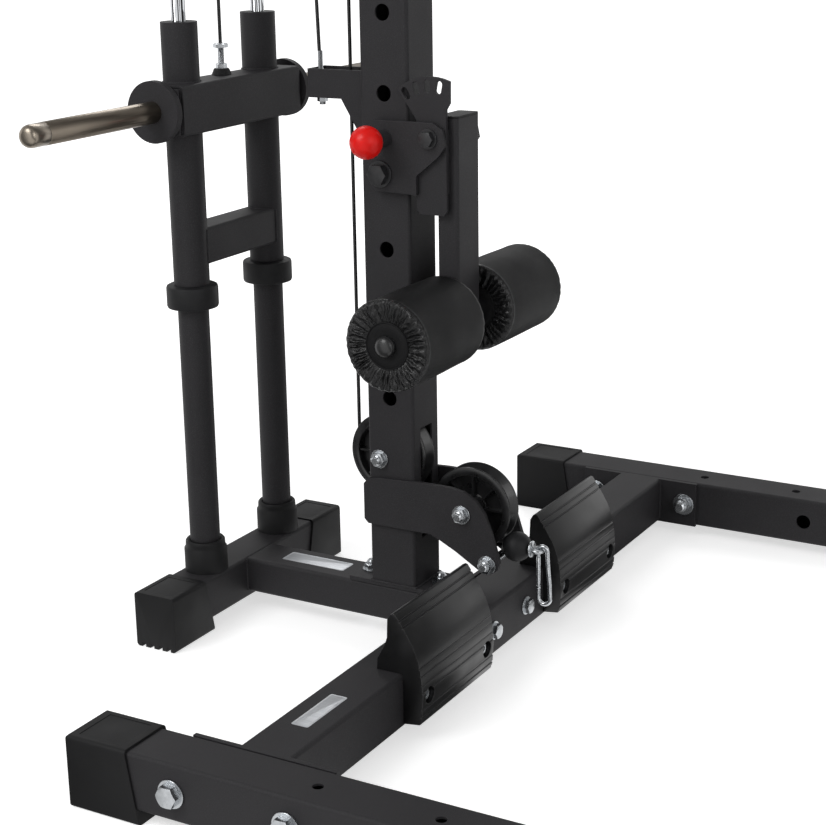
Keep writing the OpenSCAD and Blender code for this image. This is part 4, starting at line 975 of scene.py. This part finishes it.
class RACK_OT_pulleys(bpy.types.Operator):
    """Grooved nylon pulleys with a web, a bearing hub and radial ribs."""
    bl_idname = "rack.pulleys"
    bl_label = "Pulleys"

    def execute(self, context):
        for node in PULLEYS:
            self.pulley(node)
        return {"FINISHED"}

    def pulley(self, node):
        """Rim, web and hub turned about the axle, with ribs copied around it."""
        low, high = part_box(node)
        centre, outer, wide = (low + high) / 2, radius_of(node), (high.x - low.x) / 2
        root = outer - GROOVE - 3 * MM
        inner = root - 4 * MM
        web, thick = 2 * MM, 1.4 * MM
        right = [*from_edge(root, 0, (0, 0), (0, 2.2), (-1.6, 4)),
                 *from_edge(outer, wide, (1.2, -3.6), (0.2, -2.4), (0, -1.6), (0.5, -0.4), (1.4, 0)),
                 *from_edge(inner, wide, (-1.2, 0), (-0.4, -0.5), (0, -1.4)),
                 *from_edge(inner, web, (0.6, 1.5), (2, 0)), *from_edge(0, web, (-17, 0), (-15.6, 1)),
                 *from_edge(0, wide, (-15, -1), (-14.2, 0), (-11, 0), (-10.6, -1.2), (-6.3, -1.2)),
                 (6.3 * MM, 0)]
        left = [(r, -along) for r, along in reversed(right[1:-1])]
        bm = bmesh.new()
        turn(bm, right + left + [right[0]], centre, X_AXIS, 112)
        wheel = mesh_of(bm, node)
        rib = bmesh.new()
        reach = [(14.5 * MM, web - 0.5 * MM), (14.5 * MM, wide - 3 * MM), (inner * 0.6, wide - 5 * MM),
                 (inner + 0.4 * MM, wide - 3 * MM), (inner + 0.4 * MM, web - 0.5 * MM)]
        for side in (-1, 1):
            faces = [[rib.verts.new((side * along, radius, offset)) for radius, along in reach]
                     for offset in (-thick, thick)]
            for face in faces:
                rib.faces.new(face)
            bridge(rib, *faces)
        settings = {"Count": 8, "Axle": tuple(centre)}
        rib_mesh = mesh_of(rib, node + "_rib")
        ribs = through_tree(node + "_ribs", copies_around_tree, rib_mesh, settings, "nylon")
        joined = opened(wheel)
        joined.from_mesh(ribs)
        piece(node + "_wheel", mesh_of(joined, node, outward=False), "nylon", node, (node,), 35)


class RACK_OT_cables(bpy.types.Operator):
    """Jacketed cables: straight runs, and wraps that lie in the grooves."""
    bl_idname = "rack.cables"
    bl_label = "Cables"

    def execute(self, context):
        post, low, rear, mid, lat, upper, lower = (middle(node) for node in PULLEYS)
        large, up_r, low_r = (radius_of(node) - GROOVE for node in (
            "rear_top_pulley", "block_upper_pulley", "block_lower_pulley"))
        route = arc(mid, large, 0, 90) + arc(lat, large, 90, 180)
        route.append(Vector((0, lat.y - large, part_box("lat_ball_stop")[1].z)))
        self.cable("top_cable_wrap", [arc(rear, large, 0, 180), route], "frame", ("top_cable",))
        self.run("carriage_cable_run", (0, rear.y + large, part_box("cable_adjuster")[1].z),
                 (0, rear.y + large, rear.z), "carriage", "frame", ("carriage_cable",))
        self.run("block_rear_run", (0, upper.y + up_r, upper.z), (0, upper.y + up_r, rear.z),
                 "block", "frame", ("block_upper_cable",))
        self.run("block_front_run", (0, upper.y - up_r, upper.z), (0, upper.y - up_r, rear.z),
                 "block", "frame")
        self.cable("block_upper_wrap", [arc(upper, up_r, 0, -180)], "block")
        anchor, ferrule_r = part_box("anchor_ferrule")[1], 3.2 * MM
        self.run("anchor_run", (0, anchor.y - ferrule_r, anchor.z), (0, lower.y + low_r, lower.z),
                 "frame", "block", ("block_lower_cable",))
        self.run("post_run", (0, lower.y - low_r, post.z), (0, lower.y - low_r, lower.z), "frame", "block")
        self.cable("block_lower_wrap", [arc(lower, low_r, 0, 180)], "block")
        self.low_cable(post, low, large)
        return {"FINISHED"}

    def cable(self, name, routes, body, nodes=()):
        """Jacketed cable along routes."""
        return tube(name, routes, rack()[0].cable_radius, CABLE_SIDES, "jacket", body, nodes)

    def run(self, name, start, end, first, second, nodes=()):
        """Straight run between two points."""
        points = [Vector(start).lerp(Vector(end), i / 24) for i in range(25)]
        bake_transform(self.cable(name, [points], None, nodes))

    def low_cable(self, post, low, large):
        """Wrap under the two lower pulleys and the tail that runs out to the ball."""
        ball = ball_of("low_ball_stop", -Y_AXIS)[0]
        ball.x = 0
        slope = math.degrees(math.atan2(post.z - low.z, post.y - low.y)) - 90
        reach = Vector((0, ball.y - low.y, ball.z - low.z))
        leave = math.degrees(math.atan2(reach.z, reach.y)) + math.degrees(math.acos(large / reach.length))
        route = arc(post, large, 360, 360 + slope, 20) + arc(low, large, 360 + slope, leave % 360, 12)
        self.cable("low_cable_wrap", [route], "frame", ("low_cable",))
        start = route[-1]
        end = ball - (ball - start).normalized() * CABLE_SEAT
        self.run("low_cable_tail", start, end, "frame", "low_end")


# Leg holder, pull pin and carabiner

ROLLER_DISC = 29 * MM


class RACK_OT_rollers(bpy.types.Operator):
    """Padded rollers in leatherette covers gathered into pleats around an end disc."""
    bl_idname = "rack.rollers"
    bl_label = "Padded rollers"

    def execute(self, context):
        for node, side in (("foam_roller_left", -1), ("foam_roller_right", 1)):
            self.roller(node, side)
        self.hubs()
        return {"FINISHED"}

    def roller(self, node, side):
        """Closed cover: inner end, body, rolled edge, pleated ring, seam and end disc."""
        sizes = rack()[0]
        low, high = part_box(node)
        centre = middle(node)
        centre.x = 0
        radius = radius_of(node)
        near, far = (low.x, high.x) if side > 0 else (-high.x, -low.x)
        bore, roll, gather, disc_r = 12.7 * MM, 7 * MM, 9 * MM, ROLLER_DISC
        axis = side * X_AXIS
        seed = Vector((7.3 * side, 1.7, 4.1))

        def end_ring(face, out):
            rows = [(bore, face - out * 3.2 * MM), (disc_r - 9 * MM, face - out * 3.0 * MM),
                    (disc_r - 2 * MM, face - out * 3.2 * MM), (disc_r, face - out * 4.6 * MM)]
            for t in [k / 14 for k in range(1, 15)]:
                rows.append((disc_r + (radius - roll - disc_r) * t, face - out * (4.2 * MM * (1 - t) ** 2.2)))
            for a in [math.radians(90 * k / 8) for k in range(1, 8)]:
                rows.append((radius - roll + roll * math.sin(a), face - out * roll * (1 - math.cos(a))))
            return rows

        body = [(radius * (1 - 0.004 * math.cos(2 * math.pi * t)), near + roll + (far - near - 2 * roll) * t)
                for t in [k / 30 for k in range(31)]]
        profile = end_ring(near, -1) + body + list(reversed(end_ring(far, 1)))
        profile.append(profile[0])

        def pleated(r, along, angle):
            if r <= disc_r + 0.2 * MM:
                return r, along
            edge = min(abs(along - near), abs(far - along))
            face = along - near < far - along
            u = (r - disc_r) / (radius - disc_r)
            c, s = math.cos(angle), math.sin(angle)
            if edge > gather:
                soft = noise.noise(Vector((c * 2, s * 2, along * 14)) + seed)
                return r + 0.45 * MM * soft - 0.45 * MM, along
            jitter = 0.75 * noise.noise(seed + Vector((c, s, float(face))) * 2.6)
            jitter += 0.3 * noise.noise(seed + Vector((c, s, u * 0.8)) * 7)
            wave = math.cos(sizes.pleats * (angle + 0.09 * jitter) + 3.0 * jitter)
            fold = (0.5 + 0.5 * wave) ** 1.3 - 0.4
            strength = 0.8 + 0.8 * noise.noise(seed * 2 + Vector((c * 5, s * 5, face * 3)))
            fade = max(0.0, 1 - max(0.0, edge - 1.5 * MM) / gather) ** 1.5
            rise = min(1.0, 0.35 + u * 2.0) * max(0.25, 1.15 - 0.65 * u)
            depth = sizes.pleat_depth * fold * strength * fade * rise
            inward = 1 if face else -1
            out = -inward * depth * (1 if u < 0.86 else 0.4)
            shoulder = max(0.0, u - 0.8) * 5
            tuck = shoulder * (0.5 * MM + abs(depth) * 0.5 * (wave < 0))
            return r - tuck, along + out * 0.9 + inward * 0.4 * MM

        bm = bmesh.new()
        turn(bm, profile, centre, axis, 420, pleated)
        piece(node + "_cover", bm, "cover", "leg_holder", (node,), 75)
        seam = bmesh.new()
        for along in (far - 3.9 * MM, near + 3.9 * MM):
            hoop(seam, disc_r, 0.9 * MM, 8, centre + along * axis, axis, 96)
        piece(node + "_piping", seam, "cover", "leg_holder", (), 60)

    def hubs(self):
        """Domed hub caps on the ends of the roller axle."""
        outer, end = radius_of("roller_hubs"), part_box("roller_hubs")[1].x
        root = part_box("foam_roller_right")[1].x
        foot = root + 2.4 * MM
        profile = [(0, root), *from_edge(outer, root, (0.4, 0), (0, 0.5), (0, 1.9), (0.5, 2.4))]
        for a in [math.radians(90 * k / 12) for k in range(1, 12)]:
            profile.append(((outer - 0.6 * MM) * math.cos(a), foot + (end - foot) * math.sin(a)))
        turned_pair("roller_hub_caps", profile + [(0, end)], "roller_hubs", 64, "hub", "leg_holder")


class RACK_OT_pull_pin(bpy.types.Operator):
    """Spring-loaded pull pin with its coil and red ball knob."""
    bl_idname = "rack.pull_pin"
    bl_label = "Pull pin"

    def execute(self, context):
        joined_copy("pull_pin", "pull_pin_shaft", "zinc", "pull_pin")
        low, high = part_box("pull_pin_knob")
        radius = radius_of("pull_pin_knob")
        centre = (low + high) / 2
        centre.x = low.x + radius
        stop = high.x - centre.x
        profile = [(0, -radius)]
        for angle in [math.pi * k / 48 for k in range(1, 48)]:
            along = -radius * math.cos(angle)
            if along < stop - 0.6 * MM:
                profile.append((radius * math.sin(angle), along))
        bore = from_edge(0, stop, (-12.4, 0), (-12, -0.6), (-12, -7), (-5, -7)) + in_mm((5, -6), (0, -6))
        profile += [(profile[-1][0] - 0.8 * MM, stop)] + bore
        bm = bmesh.new()
        turn(bm, profile, centre, X_AXIS, 96)
        piece("red_ball_knob", bm, "knob", "pull_pin", ("pull_pin_knob",), 45)
        self.spring()
        return {"FINISHED"}

    def spring(self):
        """Coil of seven turns."""
        low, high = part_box("pull_pin_spring")
        centre = (low + high) / 2
        wire, turns, per_turn = 0.7 * MM, 7, 20
        steps = turns * per_turn
        coil_r = radius_of("pull_pin_spring") - wire
        route = []
        for k in range(steps + 1):
            a = 2 * math.pi * k / per_turn
            x = low.x + wire + (high.x - low.x - 2 * wire) * k / steps
            route.append(Vector((x, centre.y + coil_r * math.cos(a), centre.z + coil_r * math.sin(a))))
        spring = tube("pull_pin_coil", [route], wire, 8, "zinc", None, ("pull_pin_spring",))
        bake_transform(spring)


class RACK_OT_carabiner(bpy.types.Operator):
    """Pear-shaped snap hook of bent wire on the ball's eye, and its sprung gate."""
    bl_idname = "rack.carabiner"
    bl_label = "Carabiner"

    def execute(self, context):
        gate_low, gate_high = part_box("carabiner_gate")
        hook_low, hook_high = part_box("low_carabiner")
        wire = (gate_high.x - gate_low.x) / 2
        gate_y = (gate_low.y + gate_high.y) / 2
        bend, foot_bend = 6.4 * MM, 8.6 * MM
        head = Vector((0, gate_y - bend, hook_high.z - wire - bend))
        foot = Vector((0, gate_y - foot_bend, hook_low.z + wire + foot_bend))
        spine = 2 * (foot_bend - bend)
        route = [Vector((0, gate_y, gate_high.z + 0.3 * MM)), *arc(head, bend, 0, 180, 20)]
        for share, z in ((0.2, head.z - 16 * MM), (0.5, (head.z + foot.z) / 2), (0.8, foot.z + 20 * MM)):
            route.append(Vector((0, head.y - bend - share * spine, z)))
        route += [*arc(foot, foot_bend, 180, 360, 24), Vector((0, gate_y, gate_low.z - 0.3 * MM))]
        tube("snap_hook", [route], wire, 20, "wire", "carabiner", ("low_carabiner",))
        length, rivet = gate_high.z - gate_low.z, wire + 0.1 * MM
        gate = [(0, 0), *from_edge(wire, 0, (0.5, 0), (0, 0.6), (0, 4), (0.6, 4.6), (0.6, 6), (0, 6.6)),
                *from_edge(wire, length, (0, -3), (0.7, -2.4), (0.7, 0)), (0, length)]
        bm = bmesh.new()
        turn(bm, gate, Vector((0, gate_y, gate_low.z)), Z_AXIS, 32)
        turn(bm, [(0, -rivet), (1.2 * MM, -rivet), (1.2 * MM, rivet), (0, rivet)],
             Vector((0, gate_y, gate_low.z + 2.2 * MM)), X_AXIS, 20)
        piece("snap_gate", bm, "wire", "gate", ("carabiner_gate",), 40)
        return {"FINISHED"}


class RACK_OT_labels(bpy.types.Operator):
    """Blank foil labels on the cross beam and on the rear spine."""
    bl_idname = "rack.labels"
    bl_label = "Blank labels"

    def execute(self, context):
        post, corner = middle("centre_post"), 2.5 * MM
        beam = Vector((-416.8 * MM, post.y - 123.7 * MM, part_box("cross_beam")[1].z))
        spine = Vector((1.6 * MM, post.y + 145.8 * MM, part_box("end_plates")[0].z))
        border = ((0, 0), (0, 0.25), (1.2, 0.3), (1.5, 0.22), (1.9, 0.22), (2.2, 0.3))
        bm = bmesh.new()
        for place, half_x, half_y in ((beam, 43.7 * MM, 11.5 * MM), (spine, 15 * MM, 51 * MM)):
            stacked(bm, place, half_x, half_y, corner, border)
        piece("blank_labels", bm, "label", "frame", (), 40)
        return {"FINISHED"}


# Camera, floor and light

PHOTO_WIDTH = 826
FOCAL_PIXELS = 1804.96
SENSOR_MM = 36.0
CAMERA_PLACE = Vector((-2.00675, -0.69568, 1.01515))
CAMERA_BACK = Vector((-0.8305, -0.4770, 0.2877))
CAMERA_ROLL = math.radians(-0.94)


class RACK_OT_stage(bpy.types.Operator):
    """White floor, soft studio light and a camera at the photograph's view."""
    bl_idname = "rack.stage"
    bl_label = "Stage"

    def execute(self, context):
        self.camera(context)
        self.floor()
        self.surroundings(context)
        self.lights(context)
        context.scene.view_settings.view_transform = "Standard"
        return {"FINISHED"}

    def camera(self, context):
        """Camera solved from the edges of the square tubes."""
        data = bpy.data.cameras.new("photo_camera")
        data.sensor_fit = "HORIZONTAL"
        data.sensor_width = SENSOR_MM
        data.lens = FOCAL_PIXELS * SENSOR_MM / PHOTO_WIDTH
        data.clip_end = 50
        back = CAMERA_BACK.normalized()
        right = Z_AXIS.cross(back).normalized()
        up = back.cross(right)
        turned = right * math.cos(CAMERA_ROLL) + up * math.sin(CAMERA_ROLL)
        upright = up * math.cos(CAMERA_ROLL) - right * math.sin(CAMERA_ROLL)
        place = Matrix((turned, upright, back)).transposed().to_4x4()
        place.translation = CAMERA_PLACE
        camera = bpy.data.objects.new("photo_camera", data)
        camera.matrix_world = place
        context.scene.collection.objects.link(camera)
        context.scene.camera = camera

    def bands(self, tree, direction, bright):
        """Upright dark bands between bright ones, as chrome mirrors the dark gaps of a studio."""
        parts = add(tree, "ShaderNodeSeparateXYZ", [direction]).outputs
        around = add(tree, MATH, [parts["Y"], parts["X"]], operation="ARCTAN2")
        count, phase = 4.0, 2.13
        turned = add(tree, MATH, [around, count, phase], operation="MULTIPLY_ADD")
        wave = add(tree, MATH, [turned], operation="SINE")
        return add(tree, RANGE, [wave, -0.85, -0.25, 0.1, bright])

    def floor(self):
        """Large floor that is white to the eye and keeps a soft shadow."""
        mesh = bpy.data.meshes.new("studio_floor")
        reach = 12
        mesh.from_pydata([(-reach, -reach, 0), (reach, -reach, 0), (reach, reach, 0), (-reach, reach, 0)],
                         [], [(0, 1, 2, 3)])
        floor = bpy.data.objects.new("studio_floor", mesh)
        bpy.context.scene.collection.objects.link(floor)
        material, tree, place = new_material("white_studio_paper")
        matt = add(tree, "ShaderNodeBsdfDiffuse", {"Color": (0.8, 0.8, 0.8, 1)})
        far = add(tree, VECTOR, [place], operation="LENGTH").outputs["Value"]
        strength = add(tree, RANGE, [far, 1.5, 4.0, 0.6, 1.0])
        glow = add(tree, "ShaderNodeEmission", {"Color": (1, 1, 1, 1), "Strength": strength})
        seen = add(tree, "ShaderNodeAddShader", [matt, glow])
        mirrored = add(tree, "ShaderNodeEmission", {"Strength": self.bands(tree, place, 1.05)})
        path = add(tree, "ShaderNodeLightPath").outputs
        shown = add(tree, "ShaderNodeMixShader", [path["Is Glossy Ray"], matt, mirrored])
        shown = add(tree, "ShaderNodeMixShader", [path["Is Camera Ray"], shown, seen])
        add(tree, "ShaderNodeOutputMaterial", [shown])
        mesh.materials.append(material)

    def surroundings(self, context):
        """White surroundings that shine in upright bands on bright metal."""
        world = bpy.data.worlds.new("studio_world")
        world.use_nodes = True
        tree = world.node_tree
        tree.nodes.clear()
        path = add(tree, "ShaderNodeLightPath").outputs
        ahead = add(tree, "ShaderNodeTexCoord").outputs["Generated"]
        height = add(tree, "ShaderNodeSeparateXYZ", [ahead]).outputs["Z"]
        bands = self.bands(tree, ahead, add(tree, RANGE, [height, 0.15, 0.6, 1.25, 0.5]))
        mirrored = add(tree, RANGE, [path["Is Glossy Ray"], 0.0, 1.0, 0.4, bands])
        strength = add(tree, RANGE, [path["Is Camera Ray"], 0.0, 1.0, mirrored, 1.0])
        back = add(tree, "ShaderNodeBackground", {"Color": (1, 1, 1, 1), "Strength": strength})
        add(tree, "ShaderNodeOutputWorld", [back])
        context.scene.world = world

    def lights(self, context):
        """Three soft lamps."""
        for name, place, size, power in (
                ("key_light", (-3.4, 1.8, 3.6), 2.4, 95), ("fill_light", (-2.4, -3.6, 2.4), 2.6, 40),
                ("rim_light", (2.6, 2.4, 3.2), 1.8, 40)):
            data = bpy.data.lights.new(name, "AREA")
            data.size = size
            data.energy = power
            lamp = bpy.data.objects.new(name, data)
            lamp.location = place
            aim = Vector((0, 0.1, 0.5)) - Vector(place)
            lamp.rotation_euler = aim.to_track_quat("-Z", "Y").to_euler()
            context.scene.collection.objects.link(lamp)


class RACK_PT_panel(bpy.types.Panel):
    """Buttons for each group of pieces"""
    bl_label = "Half rack"
    bl_idname = "RACK_PT_panel"
    bl_space_type = "VIEW_3D"
    bl_region_type = "UI"
    bl_category = "Half rack"

    def draw(self, context):
        column = self.layout.column()
        for step in STEPS:
            column.operator(step.bl_idname)
        for group in (context.scene.rack_sizes, context.scene.rack_colours):
            for name in group.bl_rna.properties.keys():
                if name not in {"rna_type", "name"}:
                    column.prop(group, name)


STEPS = (
    RACK_OT_stage, RACK_OT_coated_steel, RACK_OT_weld_beads, RACK_OT_moulded_parts, RACK_OT_rubber_parts,
    RACK_OT_bright_parts, RACK_OT_bolts, RACK_OT_pulleys, RACK_OT_cables, RACK_OT_rollers,
    RACK_OT_pull_pin, RACK_OT_carabiner, RACK_OT_labels)
CLASSES = (RackSizes, RackColours) + STEPS + (RACK_PT_panel,)


def register():
    for cls in CLASSES:
        bpy.utils.register_class(cls)
    bpy.types.Scene.rack_sizes = bpy.props.PointerProperty(type=RackSizes)
    bpy.types.Scene.rack_colours = bpy.props.PointerProperty(type=RackColours)


def unregister():
    del bpy.types.Scene.rack_colours
    del bpy.types.Scene.rack_sizes
    for cls in reversed(CLASSES):
        bpy.utils.unregister_class(cls)


def main():
    register()
    for step in STEPS:
        group, name = step.bl_idname.split(".")
        getattr(getattr(bpy.ops, group), name)()


if __name__ == "__main__":
    main()
